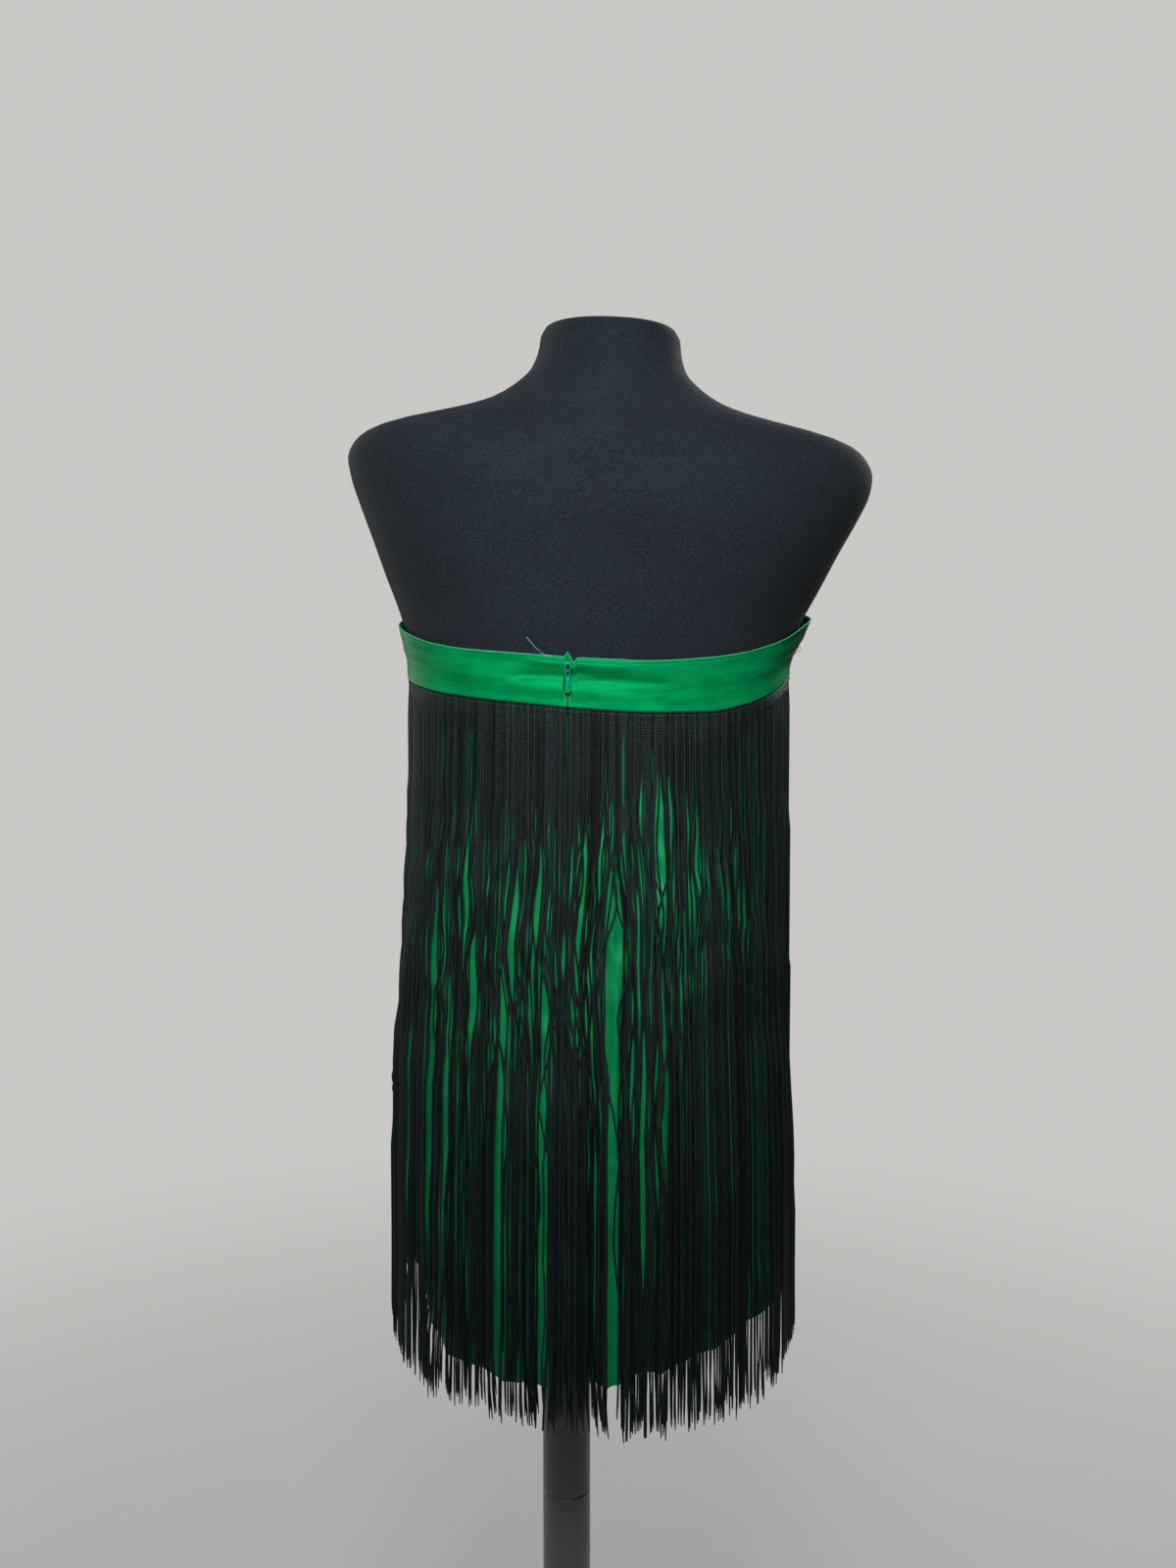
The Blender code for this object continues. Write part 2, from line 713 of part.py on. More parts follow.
def add_zip_tape():
    top = BAND_EDGES[0].top + ZIP_TAPE_ABOVE
    bottom = BAND_EDGES[0].bottom + GAP
    share = ZIP_TAPE_WIDTH / ROUND

    def place(across, down, out):
        around = ((across - 0.5) * share) % 1.0
        height = top + (bottom - top) * down
        return dress_point(around, height, BAND_WALL + GAP + out, folded=False)

    add_wall("zip_tape", place, 2, ZIP_TAPE_LEVELS, ZIP_TAPE_WALL, GREEN_SATIN)


def box_points(low, high):
    return [Vector((x, y, z)) for z in (low.z, high.z)
            for x, y in ((low.x, low.y), (high.x, low.y), (high.x, high.y), (low.x, high.y))]


def add_slider():
    """The slider's body, with the bail that holds the pull joined to it."""
    back = zip_face(GAP + ZIP_TAPE_WALL + GAP)
    face = back - SLIDER_THICKNESS
    half = SLIDER_WIDTH / 2
    points = box_points(Vector((ZIP_X - half, face, SLIDER_BOTTOM)),
                        Vector((ZIP_X + half, back, SLIDER_TOP)))
    slider = add_loft("zip_slider", [points[:4], points[4:]], GREEN_ENAMEL)
    bevel = slider.modifiers.new("rounded_edges", "BEVEL")
    bevel.width = SLIDER_BEVEL
    bevel.segments = 1

    pivot_y = face - BAIL_INNER
    outer = [(face + BAIL_SINK, PULL_PIVOT_Z - BAIL_OUTER)]
    inner = [(face + BAIL_SINK, PULL_PIVOT_Z - BAIL_INNER)]
    for step in range(BAIL_STEPS + 1):
        turn = math.pi * step / BAIL_STEPS
        for radius, side in ((BAIL_OUTER, outer), (BAIL_INNER, inner)):
            side.append((pivot_y - radius * math.sin(turn), PULL_PIVOT_Z - radius * math.cos(turn)))
    outer.append((face + BAIL_SINK, PULL_PIVOT_Z + BAIL_OUTER))
    inner.append((face + BAIL_SINK, PULL_PIVOT_Z + BAIL_INNER))
    rings = []
    for (outer_y, outer_z), (inner_y, inner_z) in zip(outer, inner):
        left = ZIP_X - BAIL_WIDTH / 2
        right = ZIP_X + BAIL_WIDTH / 2
        rings.append([Vector((left, outer_y, outer_z)), Vector((right, outer_y, outer_z)),
                      Vector((right, inner_y, inner_z)), Vector((left, inner_y, inner_z))])
    bail = add_loft("slider_bail", rings, GREEN_ENAMEL)
    bail.hide_render = True
    bail.display_type = "WIRE"
    join = slider.modifiers.new("bail", "BOOLEAN")
    join.operation = "UNION"
    join.object = bail
    return pivot_y


def add_pull(pivot_y):
    """The pull tab: a plate with a slot, its origin on the hinge line in the bail."""
    right = [(row.half_width, -row.below) for row in PULL_OUTLINE]
    outline = right + [(-x, z) for x, z in reversed(right)]
    hole_top = -PULL_BAR / 2
    hole_low = hole_top - PULL_HOLE_LENGTH
    count = len(right)
    falls = [hole_top + (hole_low - hole_top) * step / (count - 1) for step in range(count)]
    hole = [(PULL_HOLE_HALF, z) for z in falls]
    hole += [(-PULL_HOLE_HALF, z) for z in reversed(falls)]
    points = []
    for y in (-PULL_THICKNESS / 2, PULL_THICKNESS / 2):
        for loop in (outline, hole):
            points += [Vector((x, y, z)) for x, z in loop]
    size = len(outline)
    faces = []
    for corner in range(size):
        beside = (corner + 1) % size
        for first, second in ((0, 1), (3, 2), (1, 3), (2, 0)):
            faces.append([first * size + corner, first * size + beside,
                          second * size + beside, second * size + corner])
    pull = add_object("zip_pull", points, faces, GREEN_ENAMEL)
    pull.location = (ZIP_X, pivot_y, PULL_PIVOT_Z)
    return pull


clear_scene()
add_form()
add_collar()
add_pole()
add_socket()
add_base()
add_dress()
add_zip_tape()
add_pull(add_slider())
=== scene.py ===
"""Looks of the fringe dress on its dress form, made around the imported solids.

Metres, +Z up.  The dress's back faces -Y.  Lengths around the dress start at the zip and
rise towards the wearer's right, which is +X.
"""

import math
from collections import namedtuple

import bpy
import numpy as np
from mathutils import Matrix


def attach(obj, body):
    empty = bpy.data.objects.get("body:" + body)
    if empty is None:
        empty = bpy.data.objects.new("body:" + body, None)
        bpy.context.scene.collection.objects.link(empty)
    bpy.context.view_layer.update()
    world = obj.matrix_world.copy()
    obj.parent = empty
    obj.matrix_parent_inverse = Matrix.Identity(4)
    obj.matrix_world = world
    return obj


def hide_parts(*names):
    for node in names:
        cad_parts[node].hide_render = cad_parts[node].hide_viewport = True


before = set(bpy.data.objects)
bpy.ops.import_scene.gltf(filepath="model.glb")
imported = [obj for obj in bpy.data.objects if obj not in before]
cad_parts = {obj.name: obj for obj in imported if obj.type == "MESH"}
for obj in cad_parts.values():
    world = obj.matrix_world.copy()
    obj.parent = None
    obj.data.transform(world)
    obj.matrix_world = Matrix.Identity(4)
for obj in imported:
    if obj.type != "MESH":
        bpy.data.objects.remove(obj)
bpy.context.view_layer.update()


# The power of ten of the tables that are in millimetres.
MM = "e-3"


def table(text, power=""):
    """Rows of numbers under named columns."""
    columns, *rows = text.strip().splitlines()
    Row = namedtuple("Row", columns)
    return [Row(*(float(cell + power) for cell in row.split())) for row in rows]


GAP = 0.0003

# The dress form leans towards +X, about a line along Y through its foot.
LEAN = math.radians(2.0)
LEAN_X = 0.010
LEAN_Z = 0.760

# The form at each height, before it leans: half width, depths behind and in front of its
# middle, and how far its middle lies towards +X.
FORM = table("""
height half_width back front sideways
790 136 111 96 0
797 140 115 99 0
830 142.5 118.5 101.5 0
870 143 118.5 103 0
920 138.5 110.5 104.5 0
980 127.5 93 105 0
1050 117 76.5 103 0
1105 121.5 80 106 0
1150 131.5 92 115 0
1190 140.4 103 122 -0.8
1232 154.4 106 123 -0.3
1260 167.2 105.5 118.5 0.9
1290 180.4 105.5 110 2.3
1315 192 103 100 3.8
1335 199.9 98 90 4.5
1349 202.1 92 82 3.7
1360 197.7 85 74.5 3.1
1367.5 189.7 80 70 2.8
1372 180 77 67 2
1376.5 165 73 64 1
1381.5 143 69 61.5 0.3
1388 116.5 64 58.5 0
1395.5 94.5 59.5 56.5 0
1406.5 75.8 55 55.5 0
1421.5 60.6 51.5 55 0.2
1438 55.2 50 55 0.6
1446.5 54.2 49 54 0.6
1451.5 51.4 46.5 51 0.4
1453 46.8 42 46.5 0.3
""", MM)
FORM_GIRTH_ROW = 8
FORM_COLUMNS = 144
FORM_ROW_STEP = 0.006
FORM_SQUARENESS = 2.3
FORM_INSET = 0.0005
BUST_HEIGHT = 1.190
BUST_SIDE = 0.072
BUST_WIDTH = 0.046
BUST_RISE = 0.052
BUST_DEPTH = 0.013
BUST_EASE = 0.6
NECK_CAP_RISE = 0.0014
NECK_CAP_RINGS = 8

# The ring that the dress hangs from, and how far its inner face stands out from that ring.
RING_LEFT = -0.1165
RING_RIGHT = 0.1690
RING_BACK = 0.1045
RING_FRONT = 0.1375
BACK_SQUARENESS = 2.35
FRONT_SQUARENESS = 3.0
RING_STEPS = 720
NORMAL_STEP = math.radians(1.0)
HANG = table("""
height left right back front
600 -20 1 14.5 -10.5
660 -19.5 1 14.5 -10
690 -18 1.2 15 -9.5
715 -13 1.4 15.5 -9
745 -2 1.6 16.5 -8.5
775 9 1.8 17.5 -8
805 14 2 18 -7.5
860 15 2 17 -6.5
950 11 1.5 10.5 -4.5
1050 5.5 1 4.5 -2
1165 0 0 0 0
1194 3.2 1.2 0 0
1210 6 7 0 -0.8
1234 11.6 18.8 0 -2.4
1265 19 28.5 0 -6.5
""", MM)
ZIP_X = 0.0033
RIGHT_SEAM = 0.25
LEFT_SEAM = 0.75

# The dress's panels between their seams, as shares of the way round, and the cut of each one's
# skirt and band.
Panel = namedtuple("Panel", "name start end skirt skirt_area band")
PANELS = (
    Panel("back_right", 0.0, RIGHT_SEAM, (0.265, 0.505), 0.124, (0.225, 0.041)),
    Panel("front", RIGHT_SEAM, LEFT_SEAM, (0.480, 0.490), 0.225, (0.450, 0.041)),
    Panel("back_left", LEFT_SEAM, 1.0, (0.265, 0.505), 0.124, (0.228, 0.041)),
)

# The band's edges and the satin's hem, at shares of the way round.
BAND_EDGES = table("""
around top bottom
0 1.199 1.1641
0.066 1.1967 1.1608
0.11 1.199 1.1612
0.15 1.2043 1.1672
0.19 1.2145 1.1785
0.225 1.229 1.189
0.262 1.2362 1.1945
0.39 1.25 1.211
0.527 1.258 1.2195
0.665 1.248 1.209
0.801 1.2303 1.1899
0.902 1.2074 1.1735
1 1.199 1.1641
""")
HEM = table("""
around height
0 0.688
0.055 0.697
0.1 0.707
0.15 0.724
0.2 0.737
0.255 0.74
0.39 0.746
0.527 0.755
0.665 0.742
0.801 0.705
0.87 0.697
0.95 0.69
1 0.688
""")

# The satin's largest folds: way round from the zip, spread, depth at the hem, highest point.
FOLDS = table("""
around spread depth start
33 13 8.5 1060
66 12 6 1120
101 15 4.5 980
142 16 6.5 1030
196 20 7 950
248 18 5.5 1050
305 22 8 1000
362 17 6 1080
421 24 9 1020
480 19 6.5 1060
533 23 8 980
594 18 6 1050
652 21 7.5 1000
706 16 5 1080
748 17 5 920
790 13 5.5 1000
835 12 6 1050
863 10 5.5 1020
""", MM)
FOLD_END = 0.690

# Smaller creases in the satin: way round, drift by the hem, spread, depth, top and bottom.
CREASES = table("""
around drift spread depth top bottom
4 4 4 2.2 930 660
13 -4 3.5 -1 1020 780
20 7 3 2.2 1030 660
28 6 3.4 2.4 1100 900
43 -16 3.6 2.6 1060 860
31 -6 2.8 2 940 660
40 2 3 1.8 900 660
50 12 3.4 2.2 1100 920
52 -4 3.8 -1.2 980 660
68 -6 3.2 2.4 1120 880
76 4 4 1.8 1060 800
87 -3 3.6 -1 1050 720
94 4 3.2 2 1080 840
112 3 4.5 2 1020 660
127 -4 4 -1.2 960 660
158 4 5 2.2 1000 700
215 -4 5 2.4 920 660
232 3 4 -1.2 1050 800
276 5 5.5 2.6 960 660
335 -3 4.5 -1.3 900 660
385 6 5 2.4 1000 760
402 -3 4 2 880 660
452 4 5.5 -1.4 980 660
505 -6 5 2.4 940 700
562 3 4.5 -1.2 900 660
618 5 5 2.4 990 680
676 -3 4.5 -1.2 930 660
727 3 5 2 960 700
770 -3 4 -1.2 920 660
782 6 3.6 2.2 1050 700
803 3 4.5 2 1020 660
818 -4 3.5 -1 1040 740
828 6 3.2 2.2 1080 800
848 -5 3.5 2 1020 660
858 5 3 2 1060 860
868 -2 3 -1 960 700
""", MM)
CREASE_FADE = 0.10

# Soft slanting wrinkles all over the satin: cell across and down, slant, depth, and the heights
# that they fade out at.
WRINKLES = table("""
across down slant depth top bottom
0.02 0.015 0.55 0.0017 1.145 0.88
0.034 0.03 -0.4 0.002 1.12 0.72
""")
WRINKLE_FADE = 0.06
WRINKLE_SEAM = 0.010
WRINKLE_SEED = 41

# The satin: two thin faces, a turned hem and its stitch line.
SATIN_INNER = 0.0003
SATIN_OUTER = 0.0010
SATIN_COLUMN_STEP = 0.0018
SATIN_ROWS = 130
HEM_TURN = 0.013
HEM_STEP = 0.0004
HEM_SOFTNESS = 0.004
HEM_TURN_ROWS = np.array([-0.003, 0.0, 0.003])
HEM_EDGE_ROWS = np.array([0.004, 0.0015])
HEM_STITCH_PITCH = 0.0032
HEM_STITCH_INSET = 0.003
HEM_STITCH_DROP = 0.001
HEM_STITCH = (0.00022, 0.00022, 0.0011)

# The band: its fold at the top, its groove and the lip over the fringe.
BAND_INNER = 0.0003
BAND_OUTER = 0.0024
BAND_EDGE_ROWS = (0.0, 0.00012, 0.0004, 0.0008, 0.0013, 0.0018, 0.0023, 0.0030)
BAND_EDGE_SOFTNESS = 0.004
BAND_MIDDLE_ROWS = 30
BAND_COLUMN_STEP = 0.0014
BAND_GROOVE = 0.0019
BAND_GROOVE_DEPTH = 0.00035
BAND_GROOVE_SPREAD = 0.0004
BAND_LIP = 0.0007
BAND_LIP_SPREAD = 0.0035
ZIP_SLIT = 0.0026
ZIP_SLIT_LEVEL = 0.55
ZIP_SLIT_SPREAD = 0.22
ZIP_SLIT_REACH = 0.012

# Ridges and troughs along the band: middle in metres around, half length, level from the top
# edge (0) to the bottom (1), slope in levels per metre, depth and spread.
BAND_RIDGES = table("""
around half_length level slope depth spread
0.024 0.022 0.13 0.4 0.0023 0.0034
0.034 0.036 0.43 -0.3 -0.0019 0.0036
0.01 0.01 0.3 2 -0.0012 0.0026
0.024 0.022 0.72 0.3 0.0005 0.004
0.075 0.045 0.52 -0.5 -0.0006 0.006
0.125 0.04 0.4 -0.8 0.0004 0.007
0.158 0.03 0.72 0.8 -0.0005 0.005
-0.012 0.016 0.13 -0.6 0.0021 0.003
-0.018 0.02 0.41 -2.6 -0.0019 0.0033
-0.022 0.028 0.66 -0.8 0.001 0.0042
-0.046 0.03 0.2 1.2 -0.0007 0.0042
-0.072 0.026 0.5 1.6 0.0012 0.0075
-0.105 0.03 0.62 0.8 -0.0007 0.006
0.23 0.045 0.36 0.6 0.0009 0.007
0.29 0.05 0.62 -0.7 -0.0008 0.006
0.345 0.045 0.34 0.5 0.0009 0.0065
0.42 0.06 0.58 0.4 -0.0008 0.007
0.49 0.05 0.3 -0.5 0.0009 0.006
0.56 0.05 0.66 0.6 -0.0008 0.006
0.625 0.045 0.4 -0.6 0.0009 0.007
0.69 0.04 0.6 0.5 -0.0007 0.006
""")
BAND_RIPPLES = ((0.030, 0.0045, 0.00030), (0.009, 0.0035, 0.00013))
RIPPLE_SEED = 3
BAND_FOLD_RADIUS = 0.00036
BAND_FOLD_SINK = 0.0005
BAND_FOLD_WANDER = 0.0002
BAND_FOLD_WAVE = 0.012
BAND_FOLD_SEED = 8
NOTCH_AROUND = 0.0042
NOTCH_DEPTH = 0.0032
NOTCH_SPREAD = 0.0017

# The fringe.
STRANDS_PER_METRE = 980
STRAND_LENGTH = 0.502
STRAND_UNEVEN = 0.007
STRAND_STRAY = 0.012
STRAND_HALF_WIDTH = 0.00071
STRAND_HALF_DEPTH = 0.00052
STRAND_SIDES = 6
STRAND_LEVELS = np.concatenate([np.linspace(0.0, 0.56, 34), np.linspace(0.60, 0.96, 9),
                                (0.98, 1.0)])
STRAND_TIP_TAPER = (1.05, 0.55)
STRAND_SCATTER = 0.10
STRAND_CLEARANCE = 0.00060
STRAND_LAYER = 0.00075
STRAND_BESIDE = 0.0016
STRAND_ROOT = 0.0019
FRINGE_SEED = 11
CLUMP_SEED = 21
TAPE_DROP = 0.0004
TAPE_HEIGHT = 0.0042
TAPE_OUT = 0.0013
TAPE_THICK = 0.0008
TAPE_LEVELS = np.array([0.0, 0.3, 0.7, 1.0])
TAPE_COLUMN_STEP = 0.002
TAPE_STITCH_PITCH = 0.0021
TAPE_STITCH_INSET = 0.001
TAPE_STITCH_DROP = 0.0022
TAPE_STITCH = (0.00030, 0.00028, 0.00065)

# Partings in the fringe: way round, drift by their lower end, top, bottom, width and reach.
PARTINGS = table("""
around drift top bottom width reach
-0.5 0 1180 1130 1 4
32.5 -1 1075 860 11 15
31.5 -2 900 640 7.2 13
43 0 1118 1070 4.2 6
28 1 1112 1060 3.6 6
51 0 1130 1050 3.6 6
70 1 1120 1060 2.8 6
63.5 1 1125 975 6.2 9
56 1 1100 1020 2.4 5
64 -2 955 810 5.2 10
50 0 960 740 3.4 7
89 2 1090 1010 3.2 8
107 2 1080 1000 4.4 8
120 0 1065 990 4 6
-15 -1 995 660 6.8 10
-19 -2 1065 985 3.4 8
-33 -9 1070 940 4.2 8
-43 -1 970 660 5 8
-96.5 2 1030 700 8.4 10
-84 1 960 800 3.4 6
-77 1 950 860 4.4 7
-64 0 1020 890 5.4 8
-70 1 1070 990 3.8 5
13.5 -8 1080 930 4.4 8
21.5 -1 960 700 2.6 5
79 1 1060 960 4.4 7
137 2 1070 1000 3.8 7
205 3 1040 700 5 12
232 -2 980 660 4.6 12
275 3 1070 760 5.5 12
318 -3 1040 700 6 13
360 2 1090 900 4.8 10
396 3 1060 740 6.6 13
435 -2 980 690 4.6 11
470 2 1080 720 8 14
512 0 1000 860 4.8 10
552 -3 1070 740 5.6 12
593 2 960 700 4.6 11
634 3 1050 700 6.6 13
675 -2 1080 860 4.6 10
712 2 1010 700 5 12
755 -2 960 720 4.2 10
""", MM)
PARTING_FADE = 0.055
PARTING_SCATTER = 0.018
PARTING_STRAYS = 0.16

# Clumps that the strands gather in: cell across, cell down, sideways shift, where it starts,
# where it is full grown, where it eases off and how much is left of it there.
CLUMPS = table("""
across down shift start full ease left
0.005 0.13 0.0015 1.12 0.98 0.74 0.45
0.012 0.15 0.0017 1.09 0.9 0.74 0.5
0.003 0.034 0.0023 1.125 1.05 0.92 0.12
""")

# Where the strands part less: metres around, half width, below which height and how softly,
# and how much of the parting is left there.
CALMS = table("""
around half_width top fade left
0.124 0.052 1.02 0.06 0.06
0 1 0.97 0.15 0.32
-0.15 0.035 1.1 0.05 0.55
""")

# Strands that cross a parting at a slant: way round, shift, and the heights where the shift
# starts, is greatest and ends.
CROSSINGS = table("""
around shift top widest bottom
24.5 12 1100 1030 960
38.5 -10 1090 1045 985
40 -7 1010 960 900
29 5 960 900 820
35 -6 880 800 730
56 8 1080 1020 970
69 -8 1060 1010 930
-88 -7 1000 950 890
-11 -7 950 890 830
-20 6 880 820 760
""", MM)
WANDER_SHIFT = 0.00045
WANDER_LENGTHS = (0.19, 0.11, 0.07)
WANDERERS = 0.07
WANDERER_FACTOR = 4.5
WANDER_START = 0.06
WANDER_GROWTH = 0.15
LAYER_GROWTH = 0.03
TIP_BEND = 0.0016
TIP_SHARE = 0.88

# Strands that loop out of the left side: way round, height, spread and how far out.
LOOPS = table("""
around height spread out
-184 872 11 4.8
-181 864 6.5 3.4
-185 836 7.5 3.6
""", MM)
LOOP_REACH = 0.0030
LOOP_TURN = 1.6
LOOP_SWAY = 0.0012

# The zip: its tape, the coil, the pull tab, the slider with its bail, and the eye above it.
ZIP_TAPE_HALF = 0.0019
ZIP_TAPE_ABOVE = 0.0035
ZIP_TENT_HEIGHT = 1.1985
ZIP_TENT_RISE = 0.0026
ZIP_TENT_FLARE = 0.0009
ZIP_TENT_SLOPE = 0.0042
ZIP_TENT_ROWS = 24
ZIP_TAPE_LEVELS = np.concatenate([np.linspace(0.0, 0.16, 16), np.linspace(0.18, 1.0, 26)])
ZIP_TAPE_THICK = 0.0006
ZIP_TENT_OUT = 0.0005
ZIP_TIP = 0.08
ZIP_RIDGE = 0.0004
ZIP_RIDGE_AT = 0.45
ZIP_RIDGE_SPREAD = 0.2
ZIP_VALLEY = 0.0003
ZIP_VALLEY_SPREAD = 0.12
ZIP_EDGE_OUT = GAP + 0.0009
ZIP_EDGE_RADIUS = 0.00022
COIL_HALF = 0.0016
COIL_PITCH = 0.0016
COIL_TOP = 1.1750
COIL_RADIUS = 0.00042
COIL_BEAD = (COIL_RADIUS, COIL_RADIUS, COIL_PITCH * 0.48)
COIL_START = 0.001
COIL_OUT = 0.0012
PULL_PIVOT = (0.0033, -0.11047, 1.1895)
PULL_THICKNESS = 0.0010
PULL_HOLE_HALF = 0.0010
PULL_HOLE_TOP = -0.0005
PULL_HOLE_LENGTH = 0.0026
PULL_HOLE_END = 0.0003
PULL_STEPS = 22
PULL_RIDGE_SPAN = (0.0042, 0.0138)
PULL_RIDGE_OUT = 0.0001
PULL_RIDGE_SWELL = 0.0006
PULL_RIDGE_RADIUS = 0.00045
PULL_BEVEL = 0.36
PULL_OUTLINE = table("""
below half_width
-0.5 1.5
1 1.6
4 1.7
8 1.9
12 2.2
14 2
15.2 1.1
""", MM)
SLIDER_FACE = -0.10947
SLIDER_BACK = -0.10787
SLIDER_SIDES = 20
SLIDER = table("""
height half_width
1186.8 1
1187.2 1.4
1188 1.7
1190 1.9
1192 2.1
1193.6 2.1
1194.4 1.8
1194.8 1.3
""", MM)
SLIDER_SQUARENESS = 3.2
BAIL_SINK = 0.0003
BAIL_OUT = 0.0016
BAIL_HALF = 0.0013
BAIL_RADIUS = 0.00036
EYE_HEIGHT = 1.1919
EYE_OUT = 0.0002
EYE_HALF_WIDTH = 0.0020
EYE_HALF_HEIGHT = 0.0030
EYE_RADIUS = 0.00040

# Loose thread above the band: an end left of the zip, and a curl at the right.
THREAD_END = table("""
x y z
-25 -112 1212.5
-21.5 -113 1208.5
-18.5 -112.5 1205
-15 -110.5 1202
-11 -108.5 1200
-6 -108.2 1199.3
""", MM)
THREAD_CURL = table("""
x y z
165.2 -50 1202.5
168 -50 1203.4
171.2 -50.2 1205.2
174 -50.4 1206.8
175.2 -50.5 1208.4
174.2 -50.4 1209.4
172.2 -50.2 1208.6
170.3 -50 1206.6
168.6 -49.8 1205
""", MM)
THREAD_END_RADIUS = 0.00022
THREAD_CURL_RADIUS = 0.00018

# Small parts of meshes that many pieces share.
BEAD_RINGS = np.array([0.35, 0.85, 1.0, 0.85, 0.35])
BEAD_RISES = np.array([-1.0, -0.7, 0.0, 0.7, 1.0])
TUBE_GUIDE = np.array([0.31, 0.87, 0.38])
NOISE_ROUGHNESS = 0.55
LATTICE_SIZE = (512, 64)

STAND_LOOKS = {"form_board": "board", "form_collar": "metal", "pole_upper": "metal",
               "pole_lower": "metal", "base_socket": "metal", "base_plate": "metal"}

# The floor and the surround.
FLOOR_COLOUR = (0.66, 0.655, 0.645)
FLOOR_RADIUS = 2.4
FLOOR_FADE = 0.45
FLOOR_DROP = 0.0001
FLOOR_RINGS = 24
FLOOR_COLUMNS = 96
SURROUND = (0.585, 0.58, 0.565)
SURROUND_LIGHT = 0.08

Lamp = namedtuple("Lamp", "name place aim size spread power colour")
LAMPS = (
    Lamp("key", (-0.02, -0.82, 1.68), (0.02, 0.0, 1.25), 0.30, 110, 2.8, (1.0, 0.99, 0.97)),
    Lamp("fill", (-1.5, -1.2, 1.75), (0.0, 0.0, 1.15), 1.4, 180, 3.0, (0.96, 0.98, 1.0)),
    Lamp("front_right", (1.1, 1.35, 1.95), (0.0, 0.0, 1.05), 0.8, 180, 15.5, (1.0, 1.0, 1.0)),
    Lamp("front_left", (-1.4, 1.1, 1.5), (0.0, 0.0, 1.05), 1.2, 180, 7.0, (1.0, 1.0, 1.0)),
)

# The camera of the photograph: 1200 x 1600 pixels.
CAMERA_PLACE = (0.0173, -0.946, 1.155)
CAMERA_DOWN = math.radians(3.0)
CAMERA_LENS = 27.675
CAMERA_SENSOR = 36.0


# Curves and shapes that the solids follow

def curve(rows, column, at):
    """A table's column at each key, on the smooth curve through its rows.

    A row that is lower or higher than both its neighbours gets a slope of 0.
    """
    keys = np.array([row[0] for row in rows])
    values = np.array([getattr(row, column) for row in rows])
    steps = np.diff(values) / np.diff(keys)
    product = steps[:-1] * steps[1:]
    total = np.where(product > 0, steps[:-1] + steps[1:], 1.0)
    inner = np.where(product > 0, 2 * product / total, 0.0)
    slopes = np.concatenate([steps[:1], inner, steps[-1:]])
    i = np.clip(np.searchsorted(keys, at, side="right") - 1, 0, len(keys) - 2)
    span = keys[i + 1] - keys[i]
    t = np.clip((at - keys[i]) / span, 0.0, 1.0)
    start = 2 * t**3 - 3 * t**2 + 1
    bend = (t**3 - 2 * t**2 + t) * slopes[i] + (t**3 - t**2) * slopes[i + 1]
    return start * values[i] + (1 - start) * values[i + 1] + span * bend


def ease(share):
    """0 up to a share of 0, 1 from a share of 1, and a soft step between them."""
    t = np.clip(share, 0.0, 1.0)
    return t * t * (3 - 2 * t)


def full_turn(count):
    return 2 * math.pi * np.arange(count) / count


def rounded(angle, half_width, depth, squareness):
    """Points of a rounded outline, at angles from +X."""
    power = 2 / squareness
    x = half_width * np.sign(np.cos(angle)) * np.abs(np.cos(angle)) ** power
    y = depth * np.sign(np.sin(angle)) * np.abs(np.sin(angle)) ** power
    return x, y


def ring_place(angle):
    front = np.sin(angle) > 0
    x, y = rounded(angle, (RING_RIGHT - RING_LEFT) / 2, np.where(front, RING_FRONT, RING_BACK),
                   np.where(front, FRONT_SQUARENESS, BACK_SQUARENESS))
    return np.stack([(RING_LEFT + RING_RIGHT) / 2 + x, y], -1)


def measure_ring():
    """Angles around the ring from the zip, and the length along the ring up to each."""
    centre = (RING_LEFT + RING_RIGHT) / 2
    share = (ZIP_X - centre) / (RING_RIGHT - centre)
    start = -math.acos(math.copysign(abs(share) ** (BACK_SQUARENESS / 2), share))
    angles = start + np.linspace(0.0, 2 * math.pi, RING_STEPS + 1)
    places = ring_place(angles)
    lengths = np.concatenate([[0.0], np.cumsum(np.linalg.norm(np.diff(places, axis=0), axis=1))])
    return angles, lengths


ANGLES, LENGTHS = measure_ring()
ROUND = LENGTHS[-1]


def station(length):
    """The ring's points at lengths from the zip, and the ways straight out of it."""
    angle = np.interp(np.mod(length, ROUND), LENGTHS, ANGLES)
    along = ring_place(angle + NORMAL_STEP) - ring_place(angle - NORMAL_STEP)
    away = np.stack([along[..., 1], -along[..., 0]], -1)
    return ring_place(angle), away / np.linalg.norm(away, axis=-1, keepdims=True)


def hang_reach(length, height):
    """How far the dress's inner face stands out from the ring, without its folds."""
    away = station(length)[1]
    left, right, back, front = (curve(HANG, column, height) for column in HANG[0]._fields[1:])
    side = np.where(away[..., 0] > 0, right, left)
    end = np.where(away[..., 1] > 0, front, back)
    return away[..., 0]**2 * side + away[..., 1]**2 * end


def nearest_way(length, middle):
    """Lengths from a middle, the short way round."""
    return np.mod(length - middle + ROUND / 2, ROUND) - ROUND / 2


def band_edge(side, length):
    """The height of the band's top or bottom edge, at lengths from the zip."""
    return curve(BAND_EDGES, side, length / ROUND)


